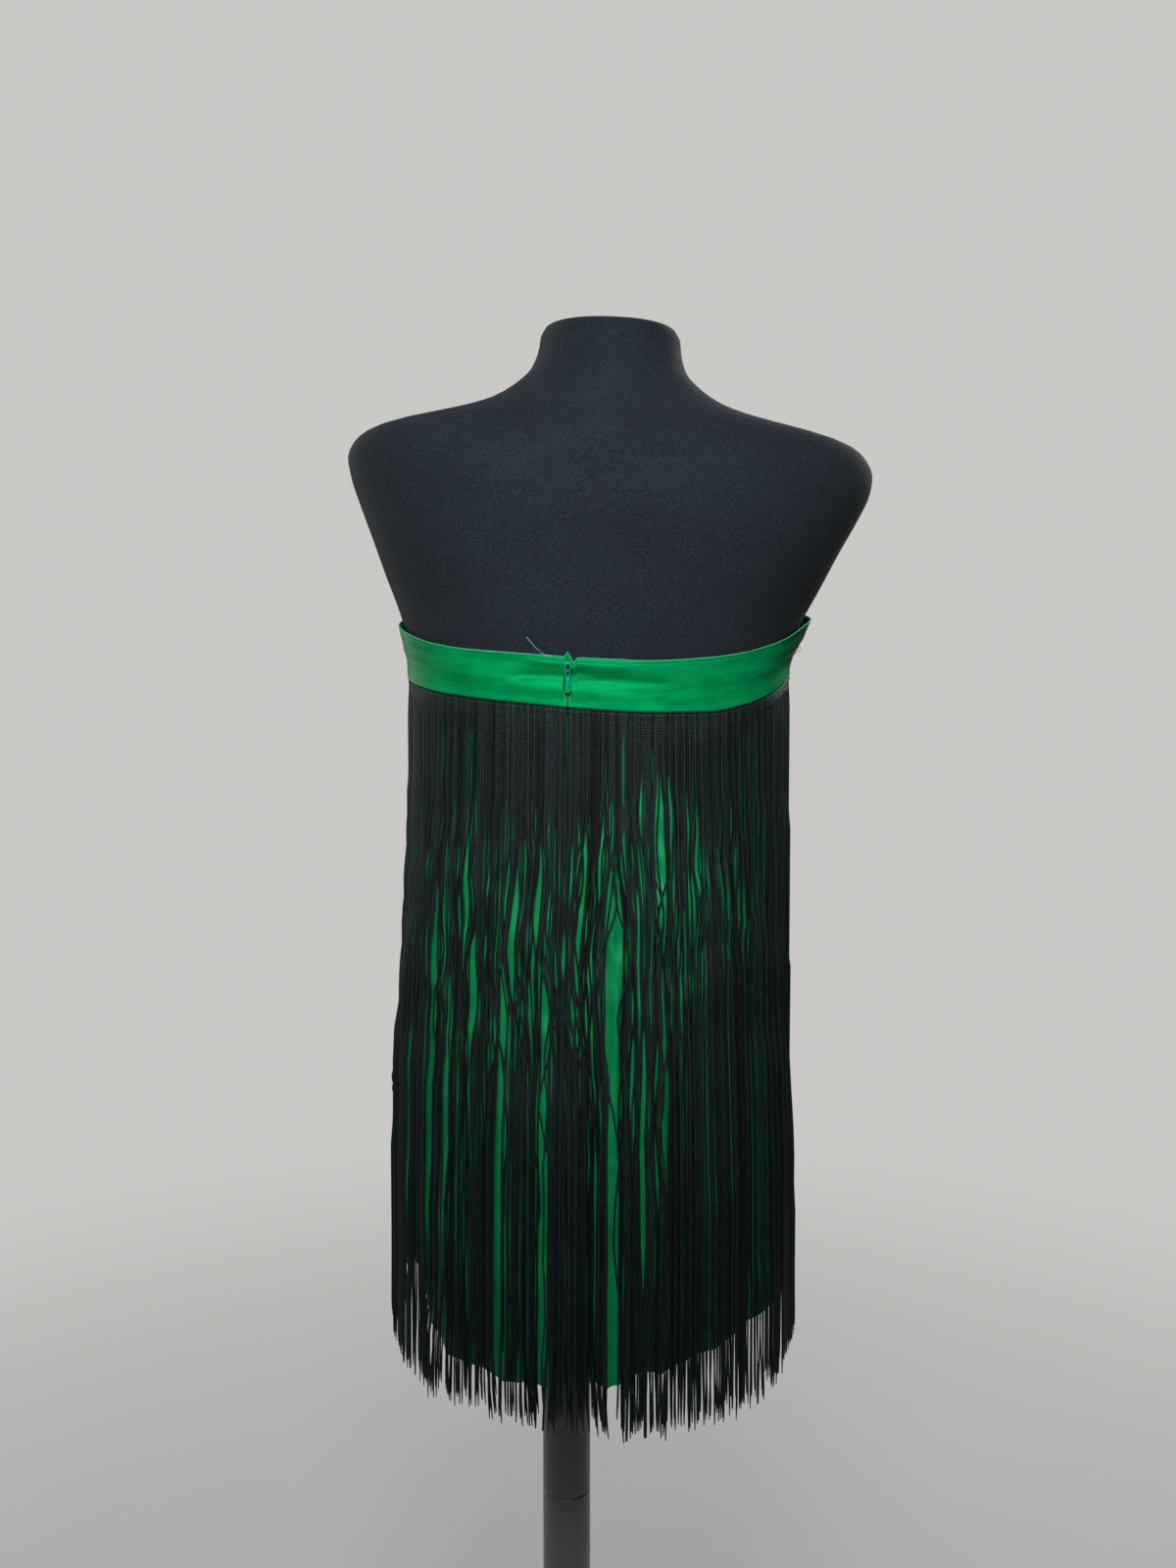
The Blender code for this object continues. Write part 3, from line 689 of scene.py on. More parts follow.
def satin_depth(length, height):
    """How far the satin's folds and creases stand out at each place."""
    depth = np.zeros(np.broadcast(length, height).shape)
    for fold in FOLDS:
        away = nearest_way(length, fold.around) / fold.spread
        grown = ease((fold.start - height) / (fold.start - FOLD_END))
        depth += fold.depth * grown * np.exp(-away**2)
    for crease in CREASES:
        down = np.clip((crease.top - height) / (crease.top - crease.bottom), 0.0, 1.0)
        away = nearest_way(length, crease.around + crease.drift * down) / crease.spread
        grown = ease((crease.top - height) / CREASE_FADE)
        depth += crease.depth * grown * np.exp(-away**2)
    seam = ease(np.abs(nearest_way(length, 0.0)) / WRINKLE_SEAM)
    for seed, wrinkle in enumerate(WRINKLES, WRINKLE_SEED):
        around = np.mod(length, ROUND)
        grown = ease((wrinkle.top - height) / WRINKLE_FADE)
        grown = grown * ease((height - wrinkle.bottom) / WRINKLE_FADE) * seam
        depth += wrinkle.depth * grown * lattice(seed, around, height + wrinkle.slant * around,
                                                 wrinkle.across, wrinkle.down)
    return depth


def ring_frame(length, height, reach):
    """Places that far out from the ring, and their ways sideways, outward and up."""
    base, away = station(length)
    flat = base + away * reach[..., None]
    height = np.broadcast_to(height, flat.shape[:-1])
    x, y = away[..., 0], away[..., 1]
    zero = np.zeros(height.shape)
    return (np.concatenate([flat, height[..., None]], -1), np.stack([-y, x, zero], -1),
            np.stack([x, y, zero], -1), np.stack([zero, zero, zero + 1.0], -1))


def dress_frame(length, height, out):
    """The same for places that stand out from the dress's plain hang."""
    return ring_frame(length, height, hang_reach(length, height) + out)


def dress_place(length, height, out):
    return dress_frame(length, height, out)[0]


def leaned(x, y, z):
    """Points of the upright form, once the form leans."""
    rise = z - LEAN_Z
    return np.stack([LEAN_X + x * math.cos(LEAN) + rise * math.sin(LEAN),
                     y + np.zeros_like(x),
                     LEAN_Z - x * math.sin(LEAN) + rise * math.cos(LEAN)], -1)


# Meshes

def new_object(name, data, place=(0.0, 0.0, 0.0), turn=(0.0, 0.0, 0.0)):
    made = bpy.data.objects.new(name, data)
    made.location = place
    made.rotation_euler = turn
    bpy.context.scene.collection.objects.link(made)
    return made


def add_mesh(name, points, faces, look, body="root", replaced=(), slot=None, facts=None):
    """One piece of the object: it rides on a body and may stand for CAD nodes.

    facts holds three numbers for each point, which the material reads as its place on the cloth.
    """
    mesh = bpy.data.meshes.new(name)
    mesh.from_pydata(np.asarray(points, float).reshape(-1, 3).tolist(), [], faces)
    mesh.update()
    mesh.shade_smooth()
    if facts is not None:
        attribute = mesh.attributes.new("cloth", "FLOAT_VECTOR", "POINT")
        attribute.data.foreach_set("vector", np.asarray(facts, np.float32).ravel())
    mesh.materials.append(LOOKS[look])
    piece = new_object(name, mesh)
    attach(piece, body)
    if replaced:
        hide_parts(*replaced)
    return piece


def grid_faces(rows, columns, closed=False, start=0, flip=False):
    """Quads of a grid of points, row by row; a closed grid joins its last column to its first."""
    row, column = np.meshgrid(np.arange(rows - 1), np.arange(columns if closed else columns - 1),
                              indexing="ij")
    beside = (column + 1) % columns
    quads = np.stack([row * columns + column, row * columns + beside,
                      (row + 1) * columns + beside, (row + 1) * columns + column], -1)
    quads = quads.reshape(-1, 4) + start
    return (quads[:, ::-1] if flip else quads).tolist()


def tube_faces(rows, columns):
    """Quads of a closed grid, and a face over each of its ends."""
    faces = grid_faces(rows, columns, closed=True)
    faces.append(list(range(columns))[::-1])
    faces.append(list(range((rows - 1) * columns, rows * columns)))
    return faces


def shell_faces(rows, columns):
    """A thin closed shell: an outer grid, then an inner grid, and the rims between them.

    Seen from outside, columns run to the right and rows run down.
    """
    side = rows * columns
    faces = grid_faces(rows, columns, flip=True) + grid_faces(rows, columns, start=side)
    grid = np.arange(side).reshape(rows, columns)
    rims = ((grid[0, :-1], grid[0, 1:]), (grid[-1, 1:], grid[-1, :-1]),
            (grid[1:, 0], grid[:-1, 0]), (grid[:-1, -1], grid[1:, -1]))
    for first, second in rims:
        faces += np.stack([first, second, side + second, side + first], -1).tolist()
    return faces


def add_shell(name, lengths, height, outs, facts, look, **use):
    """A thin sheet round the dress between two distances out, the outer one first."""
    points = [dress_place(lengths, height, out) for out in outs]
    facts = np.stack(facts, -1)
    return add_mesh(name, points, shell_faces(*height.shape), look, facts=[facts, facts], **use)


def tube_mesh(centres, sideways, outward, half_width, half_depth, sides):
    """Points and faces of closed tubes, one for each row of centres."""
    tubes, levels = centres.shape[:2]
    turns = full_turn(sides)
    across = half_width[..., None, None] * np.cos(turns)[:, None] * sideways[..., None, :]
    deep = half_depth[..., None, None] * np.sin(turns)[:, None] * outward[..., None, :]
    points = centres[..., None, :] + across + deep
    per_tube = levels * sides
    faces = []
    body = np.array(grid_faces(levels, sides, closed=True, flip=True))
    for tube in range(tubes):
        start = tube * per_tube
        faces += (body + start).tolist()
        faces.append(list(range(start, start + sides)))
        faces.append(list(range(start + per_tube - 1, start + per_tube - sides - 1, -1)))
    return points, faces


def thin_tube(name, path, radius, look, sides=6, body="root"):
    """One round tube along a path of points."""
    path = np.asarray(path, float)
    along = np.gradient(path, axis=0)
    along /= np.linalg.norm(along, axis=1, keepdims=True)
    sideways = np.cross(along, TUBE_GUIDE)
    sideways /= np.linalg.norm(sideways, axis=1, keepdims=True)
    outward = np.cross(along, sideways)
    radii = np.full((1, len(path)), radius)
    points, faces = tube_mesh(path[None], sideways[None], outward[None], radii, radii, sides)
    return add_mesh(name, points, faces, look, body)


def add_beads(name, length, height, out, size, look, upright=False):
    """Small rounded stitches on the dress; size is their half width, depth and length."""
    places, long, outward, wide = dress_frame(length, height, out)
    if upright:
        long, wide = wide, long
    half_width, half_depth, half_length = size
    centres = places[:, None] + long[:, None] * (BEAD_RISES * half_length)[:, None]
    wide, outward = (np.broadcast_to(way[:, None], centres.shape) for way in (wide, outward))
    widths, depths = (np.broadcast_to(BEAD_RINGS * half, centres.shape[:2])
                      for half in (half_width, half_depth))
    points, faces = tube_mesh(centres, wide, outward, widths, depths, 6)
    return add_mesh(name, points, faces, look)


def lattice(seed, across, down, cell_across, cell_down):
    """Smooth noise from -1 to 1 whose bumps are about as large as its cells."""
    values = np.random.default_rng(seed).uniform(-1.0, 1.0, LATTICE_SIZE)
    x = across / cell_across
    y = down / cell_down
    x0 = np.floor(x).astype(int)
    y0 = np.floor(y).astype(int)
    tx = ease(x - x0)
    ty = ease(y - y0)

    def row(j):
        near, far = (values[np.mod(x0 + i, LATTICE_SIZE[0]), np.mod(y0 + j, LATTICE_SIZE[1])]
                     for i in (0, 1))
        return near * (1 - tx) + far * tx

    return row(0) * (1 - ty) + row(1) * ty


# Materials

class Look:
    """A material with a Principled shader, and the nodes that feed it."""

    def __init__(self, name, colour, roughness, metallic=0.0, **sockets):
        self.material = bpy.data.materials.new(name)
        self.material.use_nodes = True
        self.tree = self.material.node_tree
        self.inputs = self.tree.nodes["Principled BSDF"].inputs
        self.inputs["Base Color"].default_value = (*colour, 1.0)
        self.inputs["Roughness"].default_value = roughness
        self.inputs["Metallic"].default_value = metallic
        for key, value in sockets.items():
            self.inputs[key.replace("_", " ")].default_value = value

    def node(self, kind, inputs=None, output=0, **settings):
        """One output of a new node, with its settings, and its inputs set or linked."""
        made = self.tree.nodes.new("ShaderNode" + kind)
        for key, value in settings.items():
            setattr(made, key, value)
        for key, value in (inputs or {}).items():
            if isinstance(value, bpy.types.NodeSocket):
                self.tree.links.new(value, made.inputs[key])
            else:
                made.inputs[key].default_value = value
        return made.outputs[output]

    def feed(self, key, source):
        self.tree.links.new(source, self.inputs[key])

    def cloth(self):
        """The cloth's own place, in metres."""
        return self.node("Attribute", output="Vector", attribute_name="cloth")

    def noise(self, scale, detail, cloth=False):
        """Noise on the cloth's place, or on the piece's, with a scale for each direction."""
        place = self.cloth() if cloth else self.node("TexCoord", output="Object")
        return self.grain(self.node("Mapping", {"Vector": place, "Scale": scale}), 1.0, detail)

    def grain(self, place, scale, detail):
        return self.node("TexNoise", {"Vector": place, "Scale": scale, "Detail": detail,
                                      "Roughness": NOISE_ROUGHNESS}, "Fac")

    def colour(self, fac, low, high, start=0.3, end=0.7):
        """The base colour: a blend from low to high as a number goes from start to end."""
        blend = self.node("ValToRGB", {"Fac": fac}, "Color")
        first, last = blend.node.color_ramp.elements
        first.position, last.position = start, end
        first.color, last.color = (*low, 1.0), (*high, 1.0)
        self.feed("Base Color", blend)

    def rerange(self, value, low, high, least=0.0):
        return self.node("MapRange", {"Value": value, "From Min": least, "To Min": low,
                                      "To Max": high})

    def rough(self, value, low, high):
        self.feed("Roughness", self.rerange(value, low, high))

    def sums(self, operation, first, second=0.5):
        return self.node("Math", {0: first, 1: second}, operation=operation)

    def mean(self, first, second):
        return self.sums("MULTIPLY", self.sums("ADD", first, second))

    def wave(self, value, length):
        """A sine wave along a number."""
        return self.sums("SINE", self.sums("MULTIPLY", value, 2 * math.pi / length))

    def bump(self, height, distance, strength):
        self.feed("Normal", self.node("Bump", {"Height": height, "Distance": distance,
                                               "Strength": strength}))


def satin_look(name, dark, light, shine, tint):
    """Satin: fine threads across, faint slubs, and a broad soft shine."""
    look = Look(name, light, 0.50, 0.14, Specular_IOR_Level=shine, Specular_Tint=tint)
    slubs = look.noise((55.0, 1500.0, 1.0), 4.0, cloth=True)
    cloudy = look.noise((38.0, 46.0, 1.0), 2.0, cloth=True)
    look.colour(look.mean(slubs, cloudy), dark, light, 0.35, 0.65)
    look.rough(slubs, 0.42, 0.60)
    look.bump(slubs, 0.00012, 0.8)
    return look.material


def fringe_look():
    """Chainette: V-shaped stitches down each strand, black with a faint shine; the colour lightens
    on each stitch's raised crown, a painted highlight.
    """
    look = Look("black_chainette", (0.010, 0.014, 0.015), 0.46, Specular_IOR_Level=0.22)
    across, down, chance = look.node("SeparateXYZ", {"Vector": look.cloth()}).node.outputs
    along = look.sums("ADD", look.sums("MULTIPLY", across, 0.0011), down)
    raised = look.rerange(look.wave(along, 0.0014), 0.0, 1.0, -1.0)
    grain = look.noise((3.0, 900.0, 60.0), 2.0, cloth=True)
    tone = look.rerange(chance, 0.45, 1.45)
    tone_and_crown_highlight = look.sums("MULTIPLY", look.sums("MULTIPLY", raised, grain), tone)
    # The colour lightens where the stitch is raised, a painted highlight on the crowns, with random
    # grain and a random tone for each strand.
    look.colour(tone_and_crown_highlight, (0.0006, 0.0028, 0.0028), (0.044, 0.096, 0.096), 0.24, 0.80)
    look.rough(grain, 0.36, 0.58)
    look.bump(raised, 0.00025, 0.8)
    return look.material


def jersey_look():
    """Black knitted jersey: fine courses and ribs, with a soft nap."""
    look = Look("black_jersey", (0.022, 0.028, 0.033), 0.86, Sheen_Weight=0.06,
                Specular_IOR_Level=0.30, Sheen_Roughness=0.5)
    mottle = look.noise((620.0, 620.0, 780.0), 3.0)
    patches = look.rerange(look.noise((14.0, 14.0, 18.0), 3.0), 0.35, 0.65)
    look.colour(look.mean(mottle, patches), (0.0034, 0.0080, 0.0130), (0.0150, 0.0248, 0.0350),
                0.43, 0.57)
    around, up, _ = look.node("SeparateXYZ", {"Vector": look.cloth()}).node.outputs
    knit = look.sums("MULTIPLY", look.wave(around, 0.0011), look.wave(up, 0.0008))
    look.bump(look.sums("ADD", knit, mottle), 0.00010, 0.55)
    return look.material


def grain_look(name, base, roughness, dark, light, scale, detail, relief, rough=None,
               ends=(0.3, 0.7), peel=None, **more):
    """A plain material with grain in its colour, its relief and, in a range, its roughness.

    peel is the scale of a finer grain that takes the relief's place.
    """
    look = Look(name, base, roughness, **more)
    grain = look.noise(scale, detail)
    look.colour(grain, dark, light, *ends)
    if rough:
        look.rough(grain, *rough)
    look.bump(look.noise(peel, 2.0) if peel else grain, *relief)
    return look.material


def enamel_look(name, dark, light, roughness):
    """Green enamel: smooth, with faint unevenness."""
    return grain_look(name, light, roughness, dark, light, (900.0, 900.0, 900.0), 3.0,
                      (0.00004, 0.3), (roughness - 0.07, roughness + 0.09), metallic=0.45,
                      Specular_IOR_Level=0.2, Specular_Tint=(0.05, 1.0, 0.45, 1.0))


def thread_and_highlight_look(name, dark, light):
    """Twisted sewing thread, and pale painted highlights along satin edges."""
    return grain_look(name, light, 0.62, dark, light, (1500.0, 1500.0, 2600.0), 2.0,
                      (0.00005, 0.6), Specular_IOR_Level=0.2)


LOOKS = {
    "satin": satin_look("green_satin", (0.0004, 0.250, 0.074), (0.0006, 0.390, 0.118), 0.28,
                        (0.02, 1.0, 0.38, 1.0)),
    # A brighter copy of the band's satin with a paler, stronger shine: its lighter colour is a
    # painted highlight on the satin seen through the fringe.
    "skirt_satin": satin_look("skirt_satin", (0.0004, 0.270, 0.084), (0.0020, 0.470, 0.150), 0.60,
                              (0.30, 1.0, 0.62, 1.0)),
    "fringe": fringe_look(),
    "jersey": jersey_look(),
    "metal": grain_look("grey_paint", (0.060, 0.056, 0.060), 0.36, (0.175, 0.158, 0.167),
                        (0.210, 0.192, 0.202), (16.0, 16.0, 7.0), 5.0, (0.00006, 0.35),
                        (0.28, 0.46), (0.35, 0.7), (520.0, 520.0, 520.0), metallic=0.2),
    "board": grain_look("black_board", (0.016, 0.016, 0.017), 0.6, (0.011, 0.011, 0.012),
                        (0.026, 0.025, 0.025), (12.0, 260.0, 260.0), 5.0, (0.00015, 0.5),
                        (0.5, 0.72)),
    "enamel": enamel_look("green_enamel", (0.001, 0.380, 0.150), (0.004, 0.520, 0.220), 0.28),
    # Pale enamel for the pull's ridge and the slider's eye: a painted highlight.
    "painted_highlight_enamel": enamel_look("painted_highlight_enamel", (0.010, 0.62, 0.29), (0.050, 0.86, 0.46), 0.30),
    # Near-black enamel for the slider's body: painted shade inside the eye.
    "painted_shade_enamel": enamel_look("painted_shade_enamel", (0.0005, 0.030, 0.012), (0.001, 0.055, 0.022),
                                 0.4),
    "hem_thread": thread_and_highlight_look("green_thread", (0.001, 0.20, 0.07), (0.004, 0.33, 0.12)),
    # Pale satin colour on the band's folded top edge: a painted highlight.
    "fold": thread_and_highlight_look("satin_fold_painted_highlight", (0.020, 0.50, 0.22), (0.120, 0.74, 0.42)),
    # Pale green for the zip coil, and on the zip tape's folded edges a painted highlight.
    "coil_and_edge_highlight": thread_and_highlight_look("pale_green_thread", (0.02, 0.42, 0.19), (0.12, 0.68, 0.38)),
    "loose_thread": thread_and_highlight_look("pale_loose_thread", (0.30, 0.42, 0.30), (0.55, 0.64, 0.50)),
    "brown_thread": thread_and_highlight_look("brown_thread", (0.16, 0.13, 0.10), (0.26, 0.22, 0.17)),
    "grey_thread": thread_and_highlight_look("grey_thread", (0.030, 0.044, 0.044), (0.090, 0.110, 0.110)),
}


# The dress form

def add_form_cover():
    """The form's jersey cover, through the same sections as its solid but finer."""
    heights = [FORM[0].height]
    for before, after in zip(FORM, FORM[1:]):
        steps = max(1, math.ceil((after.height - before.height) / FORM_ROW_STEP))
        heights += list(np.linspace(before.height, after.height, steps + 1)[1:])
    turns = full_turn(FORM_COLUMNS)
    height, turn = np.meshgrid(heights, turns, indexing="ij")
    half, front, back, sideways = (curve(FORM, column, height)
                                   for column in ("half_width", "front", "back", "sideways"))
    depth = np.where(np.sin(turn) > 0, front, back) - FORM_INSET
    x, y = rounded(turn, half - FORM_INSET, depth, FORM_SQUARENESS)
    x += sideways
    beside = (np.abs(x) - BUST_SIDE) / BUST_WIDTH
    above = (height - BUST_HEIGHT) / BUST_RISE
    y += BUST_DEPTH * np.exp(-beside**2 - above**2) * ease(y / depth / BUST_EASE)
    share = 1 - np.arange(1, NECK_CAP_RINGS)[:, None] / NECK_CAP_RINGS
    rise = NECK_CAP_RISE * (1 - share**2)
    cap = leaned(x[-1] * share, y[-1] * share, heights[-1] + rise + 0 * x[-1])
    points = np.concatenate([leaned(x, y, height), cap])
    around = np.broadcast_to(turns * FORM[FORM_GIRTH_ROW].half_width, points.shape[:2])
    add_mesh("form_cover", points, tube_faces(*around.shape), "jersey", replaced=["form_torso"],
             slot="jersey", facts=np.stack([around, points[..., 2], 0 * around], -1))


def finish_stand():
    for name, look in STAND_LOOKS.items():
        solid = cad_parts[name]
        solid.data.materials.clear()
        solid.data.materials.append(LOOKS[look])


# The satin

def spread_evenly(first, last, step):
    return np.linspace(first, last, max(2, round((last - first) / step)))


def add_skirt_panel(panel, first, last):
    """One skirt panel: a thin shell with the folds, the creases and a turned hem."""
    length = spread_evenly(first, last, SATIN_COLUMN_STEP)
    top = band_edge("bottom", length) - GAP
    hem = curve(HEM, "height", length / ROUND)
    turn = 1.0 - HEM_TURN / (top - hem).mean()
    down = np.unique(np.concatenate([np.linspace(0.0, 1.0, SATIN_ROWS), turn + HEM_TURN_ROWS,
                                     1 - HEM_EDGE_ROWS]))
    height = top + (hem - top) * down[:, None]
    lengths = np.broadcast_to(length, height.shape)
    depth = satin_depth(lengths, height)
    doubled = HEM_STEP * ease((down[:, None] - turn) / HEM_SOFTNESS + 0.5)
    # The skirt takes the brighter satin copy, whose lighter colour is a painted highlight.
    piece = add_shell("satin_skirt_" + panel.name, lengths, height,
                      (depth + SATIN_OUTER + doubled, depth + SATIN_INNER),
                      (lengths, height, 0 * lengths), "skirt_satin",
                      replaced=["skirt_" + panel.name], slot="green_satin")
    add_hem_stitches(panel.name, first, last)


def add_hem_stitches(name, first, last):
    """The stitch line that holds the turned hem."""
    length = np.arange(first + HEM_STITCH_INSET, last - HEM_STITCH_INSET, HEM_STITCH_PITCH)
    hem = curve(HEM, "height", length / ROUND)
    tall = band_edge("bottom", length) - hem
    height = hem + HEM_TURN * tall / tall.mean() - HEM_STITCH_DROP
    out = satin_depth(length, height) + SATIN_OUTER + HEM_STEP
    return add_beads("hem_stitches_" + name, length, height, out, HEM_STITCH, "hem_thread")


def band_relief(length, level, height_of_band):
    """How far the band's outer cloth stands out by its ridges and troughs."""
    relief = np.zeros(np.broadcast(length, level).shape)
    for ridge in BAND_RIDGES:
        away = nearest_way(length, ridge.around)
        middle = ridge.level + ridge.slope * away
        across = (level - middle) * height_of_band / ridge.spread
        relief += ridge.depth * np.exp(-across**2) * np.exp(-(away / ridge.half_length)**4)
    for seed, (across, down, depth) in enumerate(BAND_RIPPLES, RIPPLE_SEED):
        relief += depth * lattice(seed, np.mod(length, ROUND), level * height_of_band, across, down)
    return relief


def add_band_piece(panel, first, last):
    """One band piece: folded double over its top edge, with a groove under the fold."""
    length = spread_evenly(first, last, BAND_COLUMN_STEP)
    notch = NOTCH_DEPTH * np.exp(-((length - NOTCH_AROUND) / NOTCH_SPREAD)**2)
    top = band_edge("top", length) - notch
    tall = top - band_edge("bottom", length)
    edge = np.array(BAND_EDGE_ROWS)[:, None]
    middle = np.linspace(0.0, 1.0, BAND_MIDDLE_ROWS + 2)[1:-1, None]
    inset = BAND_EDGE_ROWS[-1]
    drop = np.concatenate([edge + 0 * tall, inset + (tall - 2 * inset) * middle,
                           tall - edge[::-1]])
    level = drop / tall
    lengths = np.broadcast_to(length, drop.shape)
    near_edge = np.minimum(drop, tall - drop)
    half = (BAND_OUTER - BAND_INNER) / 2
    swell = half * np.sqrt(np.clip(1 - (1 - np.minimum(near_edge / half, 1.0))**2, 0.01, 1.0))
    centre = (BAND_OUTER + BAND_INNER) / 2
    relief = band_relief(lengths, level, tall) * ease(near_edge / BAND_EDGE_SOFTNESS)
    groove = -BAND_GROOVE_DEPTH * np.exp(-((drop - BAND_GROOVE) / BAND_GROOVE_SPREAD)**2)
    lip = BAND_LIP * np.exp(-((tall - drop) / BAND_LIP_SPREAD)**2)
    if panel.name == "back_left":
        slit = ZIP_SLIT * np.exp(-((level - ZIP_SLIT_LEVEL) / ZIP_SLIT_SPREAD)**4)
        lengths = lengths - slit * ease(1 - (last - lengths) / ZIP_SLIT_REACH)
    piece = add_shell("satin_band_" + panel.name, lengths, top - drop,
                      (centre + swell + relief + groove + lip, centre - swell),
                      (lengths, top - drop, 0 * lengths), "satin",
                      replaced=["band_" + panel.name], slot="green_satin")
    wander = lattice(BAND_FOLD_SEED, np.mod(length, ROUND), 0 * length, BAND_FOLD_WAVE, 1.0)
    path = dress_place(length, top + BAND_FOLD_WANDER * wander, BAND_OUTER - BAND_FOLD_SINK)
    # The tube along the fold is pale satin: a painted highlight on the folded edge.
    fold = thin_tube("band_fold_" + panel.name, path, BAND_FOLD_RADIUS, "fold", sides=5)


# The fringe

def parting_shift(length, height, chance):
    """How far the partings push a strand sideways at each height.

    Each strand gives way a little higher or lower than its neighbours, and some hardly do.
    """
    shift = np.zeros(np.broadcast(length, height).shape)
    follow = np.where(chance.random(length.shape) < PARTING_STRAYS,
                      chance.uniform(-0.2, 0.7, length.shape), 1.0)
    for parting in PARTINGS:
        late = chance.normal(0.0, PARTING_SCATTER, length.shape)
        below = ease((parting.top + late - height) / PARTING_FADE)
        above = ease((height - parting.bottom + late) / PARTING_FADE)
        down = np.clip((parting.top - height) / (parting.top - parting.bottom), 0.0, 1.0)
        away = nearest_way(length, parting.around)
        push = parting.width / 2 * np.sign(away) * np.exp(-np.abs(away) / parting.reach)
        drift = parting.drift * down * np.exp(-(away / (2 * parting.reach))**2)
        shift += below * above * (push * follow + drift)
    return shift


def clump_shift(length, height):
    """How far strands gather sideways into clumps at each height."""
    shift = np.zeros(np.broadcast(length, height).shape)
    for seed, clump in enumerate(CLUMPS, CLUMP_SEED):
        grown = ease((clump.start - height) / (clump.start - clump.full))
        eased = ease((clump.full - height) / (clump.full - clump.ease))
        grown *= 1 - (1 - clump.left) * eased
        shift += grown * clump.shift * lattice(seed, np.mod(length, ROUND), height,
                                               clump.across, clump.down)
    return shift


def calm_share(length, height):
    """How much of their parting the strands keep: less low down, least low on the right."""
    share = np.ones(np.broadcast(length, height).shape)
    for calm in CALMS:
        inside = np.exp(-(nearest_way(length, calm.around) / calm.half_width)**6)
        below = ease((calm.top - height) / calm.fade)
        share *= 1 - (1 - calm.left) * inside * below
    return share


def strand_paths(first, last, chance):
    """Strands between two places around: their lengths around, heights and reaches."""
    count = round((last - first) * STRANDS_PER_METRE)
    pitch = (last - first) / count
    scatter = chance.uniform(-STRAND_SCATTER, STRAND_SCATTER, count)
    roots = first + pitch * (np.arange(count) + 0.5 + scatter)
    top = band_edge("bottom", roots) - TAPE_DROP
    long = STRAND_LENGTH + chance.uniform(-STRAND_UNEVEN, STRAND_UNEVEN, count)
    long -= STRAND_STRAY * chance.random(count)**4
    height = top[:, None] - long[:, None] * STRAND_LEVELS
    fallen = top[:, None] - height
    calm = calm_share(roots[:, None], height)
    side = parting_shift(roots[:, None], height, chance)
    side += calm * clump_shift(roots[:, None], height)
    for crossing in CROSSINGS:
        near = np.argmin(np.abs(nearest_way(roots, crossing.around)))
        if abs(nearest_way(roots[near], crossing.around)) < pitch:
            out = (crossing.top - height[near]) / (crossing.top - crossing.widest)
            back = (height[near] - crossing.bottom) / (crossing.widest - crossing.bottom)
            side[near] += crossing.shift * ease(out) * ease(back)
    factor = np.where(chance.random(count) < WANDERERS, WANDERER_FACTOR, 1.0)
    grown = ease((fallen - WANDER_START) / WANDER_GROWTH)
    for wave in WANDER_LENGTHS:
        phase = chance.uniform(0.0, 2 * math.pi, count)[:, None]
        tall = factor[:, None] * WANDER_SHIFT * chance.uniform(0.4, 1.0, count)[:, None]
        side += calm * tall * grown * np.sin(2 * math.pi * fallen / wave + phase)
    tip = ease((STRAND_LEVELS - TIP_SHARE) / (1 - TIP_SHARE))
    side += tip * chance.normal(0.0, TIP_BEND / 2, count)[:, None]
    length = roots[:, None] + side
    reach = np.full(height.shape, STRAND_ROOT)
    for beside in (-STRAND_BESIDE, 0.0, STRAND_BESIDE):
        there = length + beside
        stands = hang_reach(there, height) + satin_depth(there, height) + SATIN_OUTER
        reach = np.maximum(reach, stands + STRAND_CLEARANCE)
    rooted = hang_reach(roots, top) + STRAND_ROOT
    reach[:, 0] = rooted
    reach = np.maximum.accumulate(np.maximum(reach, rooted[:, None]), axis=1)
    layer = STRAND_LAYER * (np.arange(count) % 2 + chance.uniform(-0.3, 0.5, count))
    reach += layer[:, None] * ease(fallen / LAYER_GROWTH)
    reach += tip * np.abs(chance.normal(0.0, TIP_BEND / 3, count))[:, None]
    return length, height, reach, top


def add_strands(name, first, last, chance, replaced):
    """One stretch of the fringe's strands, as closed six-sided tubes."""
    length, height, reach, top = strand_paths(first, last, chance)
    centres, sideways, outward, _ = ring_frame(length, height, reach)
    taper = np.ones(len(STRAND_LEVELS))
    taper[-2:] = STRAND_TIP_TAPER
    wide = np.broadcast_to(STRAND_HALF_WIDTH * taper, height.shape)
    deep = np.broadcast_to(STRAND_HALF_DEPTH * taper, height.shape)
    points, faces = tube_mesh(centres, sideways, outward, wide, deep, STRAND_SIDES)
    turns = np.arange(STRAND_SIDES) / STRAND_SIDES
    facts = np.zeros((*height.shape, STRAND_SIDES, 3))
    facts[..., 0] = np.abs(np.mod(turns - 0.25 + 0.5, 1.0) - 0.5) * 2
    facts[..., 1] = (top[:, None] - height)[..., None]
    facts[..., 2] = chance.random(len(top))[:, None, None]
    add_mesh(name, points, faces, "fringe", replaced=replaced, slot="black_fringe", facts=facts)


